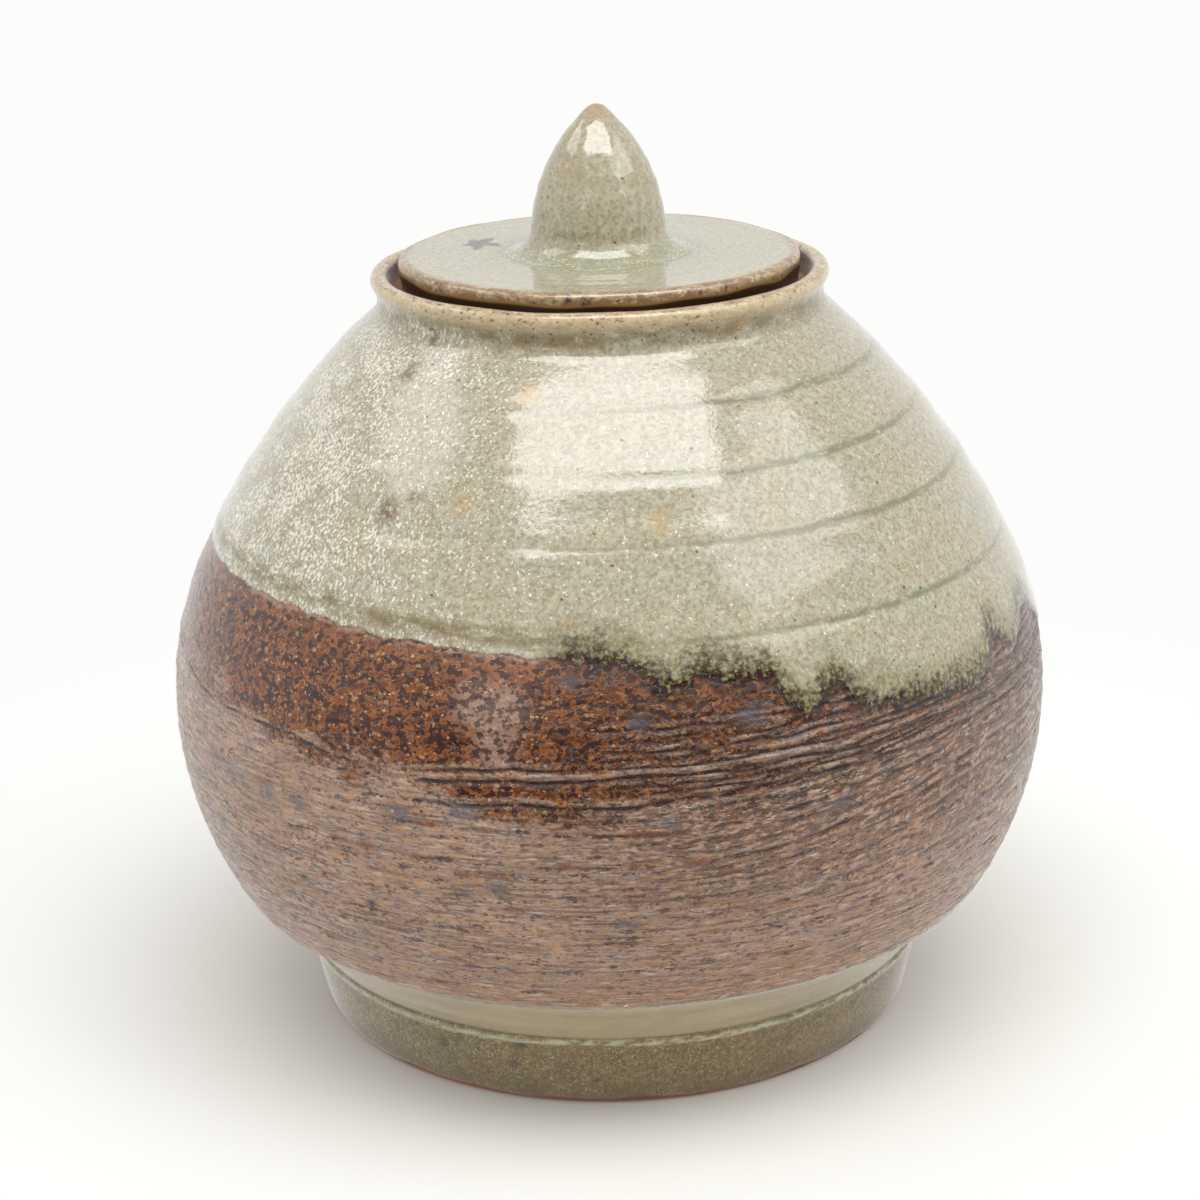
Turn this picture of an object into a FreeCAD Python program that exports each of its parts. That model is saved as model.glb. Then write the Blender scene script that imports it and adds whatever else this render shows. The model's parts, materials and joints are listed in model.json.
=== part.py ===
import FreeCAD, Part
import os
import re
import Sketcher

# A round-bellied stoneware bean pot. A thrown vessel stands on a foot ring, and its
# lip holds a gallery: a ledge for a loose lid. The lid is a thick disc with a locating
# flange below it and a pointed bud knob on top. Every piece is turned about the Z axis.
# Millimetres, +Z up. The origin is the middle of the foot's bearing face.

# alias, value, what it measures
SIZES = [
    ("bellyDiameter", 180.0, "vessel: outside diameter at the widest line"),
    ("footHeight", 16.0, "foot ring: height, and level of the vessel's underside"),
    ("bellyRise", 51.5, "vessel: from its underside up to the widest line"),
    ("shoulderRise", 82.0, "vessel: from the widest line up to the narrowest line of the neck"),
    ("lipHeight", 5.5, "vessel: from the narrowest line up to the top of the lip"),
    ("wallThickness", 5.5, "vessel: wall"),
    ("floorThickness", 7.0, "vessel: floor"),
    ("floorFillet", 22.0, "vessel: inside radius between floor and wall"),
    ("bandHeight", 14.0, "vessel: height of the hollow band above the foot"),
    ("bandCurve", 45.0, "vessel: radius of the hollow band"),
    ("lowerCurve", 71.0, "vessel: radius of the belly below the widest line"),
    ("upperCurve", 68.0, "vessel: radius of the belly above the widest line"),
    ("shoulderCurve", 160.0, "vessel: radius of the long shoulder"),
    ("neckCove", 4.5, "vessel: radius of the hollow under the lip"),
    ("lipOverhang", 1.4, "vessel: how far the lip stands out past the neck"),
    ("lipBand", 1.8, "vessel: height of the lip's upright outer face"),
    ("lipThickness", 3.1, "vessel: width of the lip's top"),
    ("lipRound", 1.4, "vessel: rounding of the lip's top edges"),
    ("galleryDepth", 4.2, "vessel: from the top of the lip down to the ledge"),
    ("galleryFlare", 1.2, "vessel: how far the gallery widens up to the lip"),
    ("ledgeWidth", 5.0, "vessel: width of the ledge that the lid rests on"),
    ("edgeRound", 0.6, "vessel: rounding of the ledge's inner edge"),
    ("footDiameter", 131.6, "foot ring: outside diameter at its top"),
    ("footTaper", 3.9, "foot ring: how far the outer face draws in down to the table"),
    ("footWidth", 8.5, "foot ring: width at the table"),
    ("footDraft", 2.0, "foot ring: how far the inner face opens out down to the table"),
    ("footRound", 2.0, "foot ring: rounding of the bottom edges"),
    ("footRidge", 1.0, "foot ring: rounding of the ridge at its top"),
    ("footGroove", 0.6, "how far the vessel's base sits in from the foot's ridge"),
    ("lidDiameter", 81.4, "lid plate: diameter"),
    ("lidThickness", 7.0, "lid plate: thickness at the edge"),
    ("lidUndercut", 1.2, "lid plate: how far the side draws in down to the seat"),
    ("lidRound", 1.8, "lid plate: rounding of the top edge"),
    ("lidDish", 1.5, "lid plate: depth of the hollow in its underside"),
    ("lidClearance", 1.2, "gap all round between the lid plate and the foot of the gallery"),
    ("flangeDepth", 8.0, "lid flange: how far it reaches down the throat"),
    ("flangeWidth", 4.5, "lid flange: thickness at its root"),
    ("flangeTaper", 0.5, "lid flange: draft of each face"),
    ("flangeRound", 1.0, "lid flange: rounding of its lower edges"),
    ("flangeClearance", 0.8, "gap all round between the flange and the throat"),
    ("knobDiameter", 26.8, "knob: diameter at the widest line of the bud"),
    ("knobHeight", 29.1, "knob: height above the lid plate"),
    ("knobWideLevel", 3.5, "knob: height of the bud's widest line"),
    ("knobTip", 2.5, "knob: radius of the tip"),
    ("knobCove", 5.5, "knob: radius of the flare into the lid plate"),
    ("knobSkirt", 0.5, "knob: thickness at the edge of the flare"),
]

# Levels and radii that several pieces share, in terms of the sizes above.
belly_radius = "(bellyDiameter / 2)"
belly_level = "(footHeight + bellyRise)"
neck_level = f"({belly_level} + shoulderRise)"
rim_level = f"({neck_level} + lipHeight)"
ledge_level = f"({rim_level} - galleryDepth)"
floor_level = "(footHeight + floorThickness)"
band_level = "(footHeight + bandHeight)"
lid_level = f"({ledge_level} + lidThickness)"
foot_radius = "(footDiameter / 2)"
base_radius = f"({foot_radius} - footGroove)"
band_top_radius = (f"({belly_radius} - lowerCurve"
                   " + sqrt(lowerCurve ^ 2 - (bellyRise - bandHeight) ^ 2))")
lid_radius = "(lidDiameter / 2)"
gallery_radius = f"({lid_radius} + lidClearance)"
mouth_radius = f"({gallery_radius} + galleryFlare)"
rim_radius = f"({mouth_radius} + lipThickness)"
neck_radius = f"({rim_radius} - lipOverhang)"
throat_radius = f"({gallery_radius} - ledgeWidth)"
flange_radius = f"({throat_radius} - flangeClearance)"
flange_bore = f"({flange_radius} - flangeWidth)"
knob_radius = "(knobDiameter / 2)"
axis = "0"      # a radius of nothing
table = "0"     # the level that the foot stands on

START, END, CENTRE = 1, 2, 3
ORIGIN = (-1, 1)
HORIZONTAL_AXIS, VERTICAL_AXIS = -1, -2

doc = FreeCAD.newDocument("BeanPot")
sheet = doc.addObject("Spreadsheet::Sheet", "Sizes")
for row, (alias, value, meaning) in enumerate(SIZES, start=1):
    sheet.set(f"A{row}", meaning)
    sheet.set(f"B{row}", str(value))
    sheet.setAlias(f"B{row}", alias)
doc.recompute()


def bound(text):
    """An expression on the sheet's cells: each alias gets the sheet's name in front."""
    return re.sub(r"\b([a-z]+[A-Z]\w*)", r"Sizes.\1", text)


def size(text):
    """The number that an expression on the sheet stands for now."""
    return float(sheet.evalExpression(bound(text)))


def point(radius, level):
    return FreeCAD.Vector(size(radius), size(level), 0)


def arc(centre, start, end):
    """An arc of a circle that runs anticlockwise about centre from start to end."""
    circle = Part.Circle(centre, FreeCAD.Vector(0, 0, 1), centre.distanceToPoint(start))
    return Part.ArcOfCircle(circle, circle.parameter(start), circle.parameter(end))


def centre_between(start, end, radius):
    """Centre of the anticlockwise arc of this radius from start to end."""
    chord = end - start
    offset = (radius ** 2 - (chord.Length / 2) ** 2) ** 0.5
    left = FreeCAD.Vector(-chord.y, chord.x, 0).normalize()
    return (start + end) * 0.5 + left * offset


def crossing(first, first_radius, second, second_radius):
    """Where two circles cross, on the left of the way from first to second."""
    way = second - first
    along = (way.Length ** 2 + first_radius ** 2 - second_radius ** 2) / (2 * way.Length)
    aside = (first_radius ** 2 - along ** 2) ** 0.5
    way.normalize()
    return first + way * along + FreeCAD.Vector(-way.y, way.x, 0) * aside


class Profile:
    """A sketch on the body's XZ plane whose outline is turned about the Z axis."""

    def __init__(self, body, name):
        self.sketch = body.newObject("Sketcher::SketchObject", name)
        plane = next(p for p in body.Origin.OriginFeatures if p.Role == "XZ_Plane")
        self.sketch.AttachmentSupport = [(plane, "")]
        self.sketch.MapMode = "FlatFace"

    def add(self, geometry, construction=False):
        return self.sketch.addGeometry(geometry, construction)

    def line(self, start, end):
        return self.add(Part.LineSegment(start, end))

    def rule(self, kind, *where):
        return self.sketch.addConstraint(Sketcher.Constraint(kind, *where))

    def measure(self, kind, where, text):
        index = self.rule(kind, *where, size(text))
        self.sketch.setExpression(f"Constraints[{index}]", bound(text))

    def put(self, geometry, end, radius=None, level=None):
        """Ties one point of the outline to a radius from the axis, a level, or both."""
        if radius == axis:
            self.rule("PointOnObject", geometry, end, VERTICAL_AXIS)
        elif radius is not None:
            self.measure("DistanceX", (*ORIGIN, geometry, end), radius)
        if level == table:
            self.rule("PointOnObject", geometry, end, HORIZONTAL_AXIS)
        elif level is not None:
            self.measure("DistanceY", (*ORIGIN, geometry, end), level)

    def join(self, first, first_end, second, second_end, smooth=False):
        kind = "Tangent" if smooth else "Coincident"
        self.rule(kind, first, first_end, second, second_end)

    def polygon(self, corners):
        """A closed outline of straight sides through (radius, level) corners."""
        points = [point(*corner) for corner in corners]
        sides = [self.line(a, b) for a, b in zip(points, points[1:] + points[:1])]
        for side, following in zip(sides, sides[1:] + sides[:1]):
            self.join(side, END, following, START)
        for side, (radius, level) in zip(sides, corners):
            self.put(side, START, radius, level)


def new_body(label):
    body = doc.addObject("PartDesign::Body", label)
    body.Label = label
    return body


def turned(body, kind, profile, name):
    """Turns a profile into a solid (Revolution) or out of one (Groove)."""
    before = body.Shape.Volume if kind == "Groove" else 0.0
    feature = body.newObject("PartDesign::" + kind, name)
    feature.Profile = profile.sketch
    feature.ReferenceAxis = (profile.sketch, ["V_Axis"])
    feature.Angle = 360.0
    profile.sketch.Visibility = False
    doc.recompute()
    if kind == "Groove" and feature.Shape.Volume >= before:
        raise RuntimeError(name + " cuts nothing")
    return feature


def rounded(body, base, name, radius, corners):
    """Rounds the circular edges at the given (radius, level) corners."""
    edges = []
    for corner in corners:
        want = point(*corner)
        for number, edge in enumerate(base.Shape.Edges, start=1):
            ring = edge.Curve
            if not isinstance(ring, Part.Circle) or edge.Degenerated:
                continue
            if abs(ring.Radius - want.x) < 1e-4 and abs(ring.Center.z - want.y) < 1e-4:
                edges.append(f"Edge{number}")
    if len(edges) != len(corners):
        raise RuntimeError(f"{name}: {len(edges)} edges found for {len(corners)} corners")
    feature = body.newObject("PartDesign::Fillet", name)
    feature.Base = (base, edges)
    feature.Radius = size(radius)
    feature.setExpression("Radius", bound(radius))
    doc.recompute()
    return feature


def vessel_outline(body):
    """Outside of the vessel: base, hollow band, belly, shoulder, neck and lip."""
    profile = Profile(body, "VesselOutline")
    base = point(base_radius, "footHeight")
    widest = point(belly_radius, belly_level)
    lower_centre = point(f"{belly_radius} - lowerCurve", belly_level)
    upper_centre = point(f"{belly_radius} - upperCurve", belly_level)
    cove_centre = point(f"{neck_radius} + neckCove", neck_level)
    lip_foot = point(rim_radius, f"{rim_level} - lipBand")
    lip_top = point(rim_radius, rim_level)
    top = point(axis, rim_level)
    bottom = point(axis, "footHeight")

    # first guesses at the joins, which the tangent rules then settle
    band_top = point(band_top_radius, band_level)
    towards_neck = (cove_centre - upper_centre).normalize()
    leaves_belly = upper_centre + (towards_neck + FreeCAD.Vector(1, 0, 0)).normalize() * size("upperCurve")
    enters_neck = cove_centre + FreeCAD.Vector(-1, -1, 0).normalize() * size("neckCove")
    leaves_neck = cove_centre + FreeCAD.Vector(-2, 1, 0).normalize() * size("neckCove")

    under = profile.line(bottom, base)
    band = profile.add(arc(centre_between(band_top, base, size("bandCurve")), band_top, base))
    lower = profile.add(arc(lower_centre, band_top, widest))
    upper = profile.add(arc(upper_centre, widest, leaves_belly))
    shoulder_centre = centre_between(leaves_belly, enters_neck, size("shoulderCurve"))
    shoulder = profile.add(arc(shoulder_centre, leaves_belly, enters_neck))
    cove = profile.add(arc(cove_centre, leaves_neck, enters_neck))
    flare = profile.line(leaves_neck, lip_foot)
    lip = profile.line(lip_foot, lip_top)
    across = profile.line(lip_top, top)
    middle = profile.line(top, bottom)

    profile.join(under, END, band, END)
    profile.join(band, START, lower, START)
    profile.join(lower, END, upper, START)
    profile.join(upper, END, shoulder, START, smooth=True)
    profile.join(shoulder, END, cove, END, smooth=True)
    profile.join(cove, START, flare, START, smooth=True)
    profile.join(flare, END, lip, START)
    profile.join(lip, END, across, START)
    profile.join(across, END, middle, START)
    profile.join(middle, END, under, START)

    profile.put(under, START, axis, "footHeight")
    profile.put(under, END, base_radius, "footHeight")
    profile.measure("Radius", (band,), "bandCurve")
    profile.put(band, START, level=band_level)
    profile.put(lower, CENTRE, f"{belly_radius} - lowerCurve", belly_level)
    profile.measure("Radius", (lower,), "lowerCurve")
    profile.put(lower, END, level=belly_level)
    profile.put(upper, CENTRE, f"{belly_radius} - upperCurve", belly_level)
    profile.measure("Radius", (shoulder,), "shoulderCurve")
    profile.put(cove, CENTRE, f"{neck_radius} + neckCove", neck_level)
    profile.measure("Radius", (cove,), "neckCove")
    profile.put(lip, START, rim_radius, f"{rim_level} - lipBand")
    profile.put(lip, END, rim_radius, rim_level)
    profile.put(middle, START, axis, rim_level)
    return profile


def vessel_hollow(body):
    """Inside of the vessel: each curve is the outside's own, moved in by the wall."""
    profile = Profile(body, "VesselHollow")
    inner_radius = f"({belly_radius} - wallThickness)"
    widest = point(inner_radius, belly_level)
    lower_centre = point(f"{belly_radius} - lowerCurve", belly_level)
    upper_centre = point(f"{belly_radius} - upperCurve", belly_level)
    cove_centre = point(f"{neck_radius} + neckCove", neck_level)
    floor_middle = point(axis, floor_level)
    ledge_edge = point(throat_radius, ledge_level)
    ledge_foot = point(gallery_radius, ledge_level)
    mouth = point(mouth_radius, rim_level)
    top = point(axis, rim_level)

    # first guesses at the joins, which the tangent rules then settle
    fillet, inner_band = size("floorFillet"), size("bandCurve + wallThickness")
    outer_base, outer_top = point(base_radius, "footHeight"), point(band_top_radius, band_level)
    band_centre = centre_between(outer_top, outer_base, size("bandCurve"))
    fillet_rise = floor_middle.y + fillet - band_centre.y
    fillet_reach = ((inner_band + fillet) ** 2 - fillet_rise ** 2) ** 0.5
    fillet_centre = band_centre + FreeCAD.Vector(-fillet_reach, fillet_rise, 0)
    floor_end = fillet_centre - FreeCAD.Vector(0, fillet, 0)
    leaves_floor = band_centre + (fillet_centre - band_centre).normalize() * inner_band
    enters_belly = crossing(lower_centre, size("lowerCurve - wallThickness"), band_centre, inner_band)
    towards_neck = (cove_centre - upper_centre).normalize()
    leaves_belly = upper_centre + (towards_neck + FreeCAD.Vector(1, 0, 0)).normalize() * size(
        "upperCurve - wallThickness")
    throat_foot = ledge_edge - FreeCAD.Vector(0, size("wallThickness") / 2, 0)

    floor = profile.line(floor_middle, floor_end)
    corner = profile.add(arc(fillet_centre, floor_end, leaves_floor))
    band = profile.add(arc(band_centre, enters_belly, leaves_floor))
    lower = profile.add(arc(lower_centre, enters_belly, widest))
    upper = profile.add(arc(upper_centre, widest, leaves_belly))
    shoulder_centre = centre_between(leaves_belly, throat_foot, size("shoulderCurve - wallThickness"))
    shoulder = profile.add(arc(shoulder_centre, leaves_belly, throat_foot))
    throat = profile.line(throat_foot, ledge_edge)
    ledge = profile.line(ledge_edge, ledge_foot)
    gallery = profile.line(ledge_foot, mouth)
    across = profile.line(mouth, top)
    middle = profile.line(top, floor_middle)
    # two guides, which are no part of the outline: the band's own outside curve, and the
    # neck's hollow, one wall larger, for the shoulder
    outer_band = profile.add(arc(band_centre, outer_top, outer_base), True)
    guide = profile.add(Part.Circle(cove_centre, FreeCAD.Vector(0, 0, 1),
                                    size("neckCove + wallThickness")), True)

    profile.join(floor, END, corner, START, smooth=True)
    profile.join(corner, END, band, END, smooth=True)
    profile.join(band, START, lower, START)
    profile.join(lower, END, upper, START)
    profile.join(upper, END, shoulder, START, smooth=True)
    profile.join(shoulder, END, throat, START)
    profile.join(throat, END, ledge, START)
    profile.join(ledge, END, gallery, START)
    profile.join(gallery, END, across, START)
    profile.join(across, END, middle, START)
    profile.join(middle, END, floor, START)

    profile.rule("Horizontal", floor)
    profile.put(floor, START, axis, floor_level)
    profile.measure("Radius", (corner,), "floorFillet")
    profile.put(outer_band, START, band_top_radius, band_level)
    profile.put(outer_band, END, base_radius, "footHeight")
    profile.measure("Radius", (outer_band,), "bandCurve")
    profile.join(band, CENTRE, outer_band, CENTRE)
    profile.measure("Radius", (band,), "bandCurve + wallThickness")
    profile.put(lower, CENTRE, f"{belly_radius} - lowerCurve", belly_level)
    profile.measure("Radius", (lower,), "lowerCurve - wallThickness")
    profile.put(lower, END, level=belly_level)
    profile.put(upper, CENTRE, f"{belly_radius} - upperCurve", belly_level)
    profile.measure("Radius", (shoulder,), "shoulderCurve - wallThickness")
    profile.put(guide, CENTRE, f"{neck_radius} + neckCove", neck_level)
    profile.measure("Radius", (guide,), "neckCove + wallThickness")
    profile.rule("Tangent", shoulder, guide)
    profile.rule("Vertical", throat)
    profile.put(ledge, START, throat_radius, ledge_level)
    profile.put(ledge, END, gallery_radius, ledge_level)
    profile.put(gallery, END, mouth_radius, rim_level)
    profile.put(middle, START, axis, rim_level)
    return profile


def make_pot_wall():
    body = new_body("pot_wall")
    turned(body, "Revolution", vessel_outline(body), "VesselSolid")
    hollowed = turned(body, "Groove", vessel_hollow(body), "VesselCavity")
    lip = rounded(body, hollowed, "LipRounds", "lipRound",
                  [(rim_radius, rim_level), (mouth_radius, rim_level)])
    rounded(body, lip, "LedgeRound", "edgeRound", [(throat_radius, ledge_level)])
    return body


def make_foot_ring():
    body = new_body("foot_ring")
    toe = f"({foot_radius} - footTaper)"
    heel = f"({toe} - footWidth)"
    profile = Profile(body, "FootOutline")
    profile.polygon([
        (heel, table),
        (toe, table),
        (foot_radius, "footHeight"),
        (f"{heel} - footDraft", "footHeight"),
    ])
    ring = turned(body, "Revolution", profile, "FootSolid")
    ridge = rounded(body, ring, "FootRidge", "footRidge", [(foot_radius, "footHeight")])
    rounded(body, ridge, "FootRounds", "footRound", [(toe, table), (heel, table)])
    return body


def make_lid_plate():
    body = new_body("lid_plate")
    profile = Profile(body, "PlateOutline")
    profile.polygon([
        (axis, f"{ledge_level} + lidDish"),
        (flange_bore, f"{ledge_level} + lidDish"),
        (flange_bore, ledge_level),
        (f"{lid_radius} - lidUndercut", ledge_level),
        (lid_radius, lid_level),
        (axis, lid_level),
    ])
    plate = turned(body, "Revolution", profile, "PlateSolid")
    rounded(body, plate, "PlateRound", "lidRound", [(lid_radius, lid_level)])
    return body


def make_lid_flange():
    body = new_body("lid_flange")
    tip = f"({ledge_level} - flangeDepth)"
    profile = Profile(body, "FlangeOutline")
    profile.polygon([
        (f"{flange_bore} + flangeTaper", tip),
        (f"{flange_radius} - flangeTaper", tip),
        (flange_radius, ledge_level),
        (flange_bore, ledge_level),
    ])
    ring = turned(body, "Revolution", profile, "FlangeSolid")
    rounded(body, ring, "FlangeRounds", "flangeRound",
            [(f"{flange_bore} + flangeTaper", tip), (f"{flange_radius} - flangeTaper", tip)])
    return body


def make_lid_knob():
    """A pointed bud: a side arc that bulges over a flare, and a rounded tip."""
    body = new_body("lid_knob")
    profile = Profile(body, "KnobOutline")
    wide_level = f"({lid_level} + knobWideLevel)"
    tip_level = f"({lid_level} + knobHeight)"
    skirt_level = f"({lid_level} + knobSkirt)"
    tip_centre = point(axis, f"{tip_level} - knobTip")
    tip = point(axis, tip_level)
    middle_foot = point(axis, lid_level)
    widest = point(knob_radius, wide_level)

    # first guesses at the joins: the side bulges over the tip circle and both touch
    blunt, cove = size("knobTip"), size("knobCove")
    rise = tip_centre.y - widest.y
    side_radius = (widest.x ** 2 + rise ** 2 - blunt ** 2) / (2 * (widest.x - blunt))
    side_centre = widest - FreeCAD.Vector(side_radius, 0, 0)
    meets_tip = tip_centre + (tip_centre - side_centre).normalize() * blunt
    cove_level = size(skirt_level) + cove
    cove_reach = ((side_radius + cove) ** 2 - (cove_level - side_centre.y) ** 2) ** 0.5
    cove_centre = FreeCAD.Vector(side_centre.x + cove_reach, cove_level, 0)
    meets_side = side_centre + (cove_centre - side_centre).normalize() * side_radius
    skirt_top = cove_centre - FreeCAD.Vector(0, cove, 0)
    skirt_foot = FreeCAD.Vector(skirt_top.x, middle_foot.y, 0)

    base = profile.line(middle_foot, skirt_foot)
    edge = profile.line(skirt_foot, skirt_top)
    flare = profile.add(arc(cove_centre, meets_side, skirt_top))
    side = profile.add(arc(side_centre, meets_side, meets_tip))
    cap = profile.add(arc(tip_centre, meets_tip, tip))
    middle = profile.line(tip, middle_foot)
    # a spoke of the side's circle, out to the bud's widest point
    spoke = profile.add(Part.LineSegment(side_centre, widest), True)

    profile.join(base, END, edge, START)
    profile.join(edge, END, flare, END)
    profile.join(flare, START, side, START, smooth=True)
    profile.join(side, END, cap, START, smooth=True)
    profile.join(cap, END, middle, START)
    profile.join(middle, END, base, START)
    profile.join(spoke, START, side, CENTRE)

    profile.put(base, START, axis, lid_level)
    profile.rule("Horizontal", base)
    profile.rule("Vertical", edge)
    profile.put(flare, END, level=skirt_level)
    profile.rule("Vertical", flare, CENTRE, flare, END)
    profile.measure("Radius", (flare,), "knobCove")
    profile.rule("Horizontal", spoke)
    profile.put(spoke, END, knob_radius, wide_level)
    profile.rule("PointOnObject", spoke, END, side)
    profile.put(cap, CENTRE, axis, f"{tip_level} - knobTip")
    profile.put(cap, END, axis, tip_level)
    turned(body, "Revolution", profile, "KnobSolid")
    return body


pieces = [make_pot_wall(), make_foot_ring(), make_lid_plate(), make_lid_flange(), make_lid_knob()]
doc.recompute()

for thing in doc.Objects:
    if {"Invalid", "Error"} & set(thing.State):
        raise RuntimeError(f"{thing.Label} is {thing.State}")
for piece in pieces:
    if piece.Shape.isNull() or not piece.Shape.isValid() or len(piece.Shape.Solids) != 1:
        raise RuntimeError(f"{piece.Label} is not one valid solid")

os.makedirs("parts", exist_ok=True)
for piece in pieces:
    piece.Shape.exportStep(f"parts/{piece.Label}.step")
    box = piece.Shape.optimalBoundingBox()
    print(f"{piece.Label}: {piece.Shape.Volume / 1000:.1f} cm3, radius {box.XMax:.2f}, "
          f"z {box.ZMin:.2f} to {box.ZMax:.2f}")
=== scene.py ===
import json
import math

import bpy
import numpy as np
from mathutils import Matrix, Vector


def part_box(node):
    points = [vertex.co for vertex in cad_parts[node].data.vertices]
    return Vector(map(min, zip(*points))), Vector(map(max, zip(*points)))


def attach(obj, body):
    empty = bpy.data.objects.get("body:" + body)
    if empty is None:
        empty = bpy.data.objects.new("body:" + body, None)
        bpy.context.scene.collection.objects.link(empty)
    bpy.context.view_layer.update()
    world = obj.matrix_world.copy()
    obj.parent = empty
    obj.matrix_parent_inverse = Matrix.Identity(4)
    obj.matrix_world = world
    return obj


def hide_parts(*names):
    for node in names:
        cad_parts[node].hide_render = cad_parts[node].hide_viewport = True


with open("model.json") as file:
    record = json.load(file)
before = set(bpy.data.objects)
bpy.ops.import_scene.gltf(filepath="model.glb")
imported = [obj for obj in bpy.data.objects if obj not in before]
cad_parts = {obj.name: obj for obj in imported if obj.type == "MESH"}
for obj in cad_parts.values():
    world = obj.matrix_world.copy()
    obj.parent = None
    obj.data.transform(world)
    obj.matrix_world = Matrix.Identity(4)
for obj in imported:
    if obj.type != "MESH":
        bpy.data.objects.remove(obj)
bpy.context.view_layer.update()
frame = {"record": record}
bodies = frame["record"]["behaviour"]["bodies"]

# A stoneware bean pot: a thrown wall on a foot ring, and a loose lid with a flange and a bud knob.
# Shapes are worked out in millimetres as a radius and a height, then turned about the Z axis.
# Angles go round from the front (-Y) towards the right (+X).
metresPerMm = 0.001
fullTurn = 2 * math.pi


def nodeSize(node):
    # largest radius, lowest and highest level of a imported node, in millimetres
    low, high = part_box(node)
    return high.x / metresPerMm, low.z / metresPerMm, high.z / metresPerMm


def arcPoints(centre, start, end, step=0.1):
    # centre + radius * (cos t, sin t), the shorter way round from start to end
    centre, start, end = (np.asarray(p, float) for p in (centre, start, end))
    first = math.atan2(*(start - centre)[::-1])
    sweep = (math.atan2(*(end - centre)[::-1]) - first + math.pi) % fullTurn - math.pi
    radius = np.linalg.norm(start - centre)
    turn = first + sweep * np.linspace(0, 1, max(6, round(radius * abs(sweep) / step)))[:, None]
    return centre + radius * np.hstack([np.cos(turn), np.sin(turn)])


def centreBetween(start, end, radius):
    # centre of the arc of this radius that has the chord from start to end on its right
    start, end = np.array(start, float), np.array(end, float)
    chord = end - start
    half = np.linalg.norm(chord) / 2
    left = np.array([-chord[1], chord[0]]) / (2 * half)
    return (start + end) / 2 + left * math.sqrt(radius ** 2 - half ** 2)


def crossing(first, firstRadius, second, secondRadius):
    # where two circles cross, on the left of the way from the first centre to the second
    way = np.subtract(second, first)
    reach = np.linalg.norm(way)
    way = way / reach
    along = (reach ** 2 + firstRadius ** 2 - secondRadius ** 2) / (2 * reach)
    aside = math.sqrt(firstRadius ** 2 - along ** 2)
    return first + way * along + np.array([-way[1], way[0]]) * aside


def towards(start, end, distance):
    # the point at this distance from start on the line to end
    way = np.subtract(end, start)
    return start + way / np.linalg.norm(way) * distance


def roundedCorner(before, corner, after, radius):
    # the arc that touches both sides of a corner: its ends lie radius / tan(half the angle) from it
    before, corner, after = (np.array(p, float) for p in (before, corner, after))
    sideA = towards((0, 0), before - corner, 1)
    sideB = towards((0, 0), after - corner, 1)
    half = math.acos(np.clip(sideA @ sideB, -1, 1)) / 2
    centre = corner + towards((0, 0), sideA + sideB, radius / math.sin(half))
    reach = radius / math.tan(half)
    return arcPoints(centre, corner + sideA * reach, corner + sideB * reach)


def evenRows(points, count):
    # the same line cut into count equal steps of its own length
    along = np.append(0, np.cumsum(np.hypot(*np.diff(points, axis=0).T)))
    stations = np.linspace(0, along[-1], count + 1)
    return np.column_stack([np.interp(stations, along, points[:, k]) for k in (0, 1)])


def joinStretches(stretches, closed=False):
    # stretches are (name, points, rows); each runs from the last point of the one before it
    parts, starts, row, last = [], {}, 0, None
    for name, points, count in stretches:
        points = np.asarray(points, float)
        if last is not None:
            points = np.vstack([last, points])
        part = evenRows(points, count)
        starts[name] = row
        parts.append(part[:-1])
        row, last = row + count, part[-1]
    line = np.vstack(parts if closed else parts + [last])
    following = np.roll(line, -1, axis=0) if closed else np.vstack([line[1:], line[-1]])
    previous = np.roll(line, 1, axis=0) if closed else np.vstack([line[0], line[:-1]])
    tangent = following - previous
    tangent /= np.linalg.norm(tangent, axis=1)[:, None]
    steps = np.hypot(*np.diff(line, axis=0).T)
    return {
        "radius": line[:, :1], "height": line[:, 1:], "starts": starts, "closed": closed,
        "along": np.append(0, np.cumsum(steps))[:, None],
        "outR": tangent[:, 1:], "outZ": -tangent[:, :1],
        "rows": np.arange(len(line))[:, None],
    }


def readings(outline):
    return (outline[name] for name in ("height", "rows", "starts", "radius"))


def ease(value, low, high):
    # 0 up to low, 1 from high, and 3t^2 - 2t^3 between them
    t = np.clip((value - low) / (high - low), 0, 1)
    return t * t * (3 - 2 * t)


def hump(value, middle, width):
    # a bell: e to the minus square of the distance over the width
    return np.exp(-((value - middle) / width) ** 2)


def within(value, fadesIn, fadesOut):
    # eased from 0 to 1 over the first pair of values, and back to 0 over the second
    return ease(value, *fadesIn) * (1 - ease(value, *fadesOut))


def columnAngles(count):
    return fullTurn * np.arange(count)[None, :] / count


def fromFront(angle, first=-180):
    # degrees round from the front, counted from first to first + 360
    return (np.degrees(angle) - first) % 360 + first


def sideHumps(angle, humps):
    # the sum of bells round the pot: (degrees, width, strength) each. One behind the pot is counted
    # from the front on, so that the seam at the back doesn't cut it.
    turns = {True: fromFront(angle, 0), False: fromFront(angle)}
    return sum(strength * hump(turns[middle > 90], middle, width) for middle, width, strength in humps)


def aroundPot(angle, points):
    # a height for each angle, eased from one (degrees, height) point to the next, closed over the turn
    spots = sorted(points)
    degrees = np.array([spots[-1][0] - 360] + [p[0] for p in spots] + [spots[0][0] + 360], float)
    heights = np.array([spots[-1][1]] + [p[1] for p in spots] + [spots[0][1]], float)
    want = fromFront(angle, degrees[1])
    k = np.clip(np.searchsorted(degrees, want, side="right") - 1, 0, len(degrees) - 2)
    share = ease(want, degrees[k], degrees[k + 1])
    return heights[k] + (heights[k + 1] - heights[k]) * share


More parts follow.
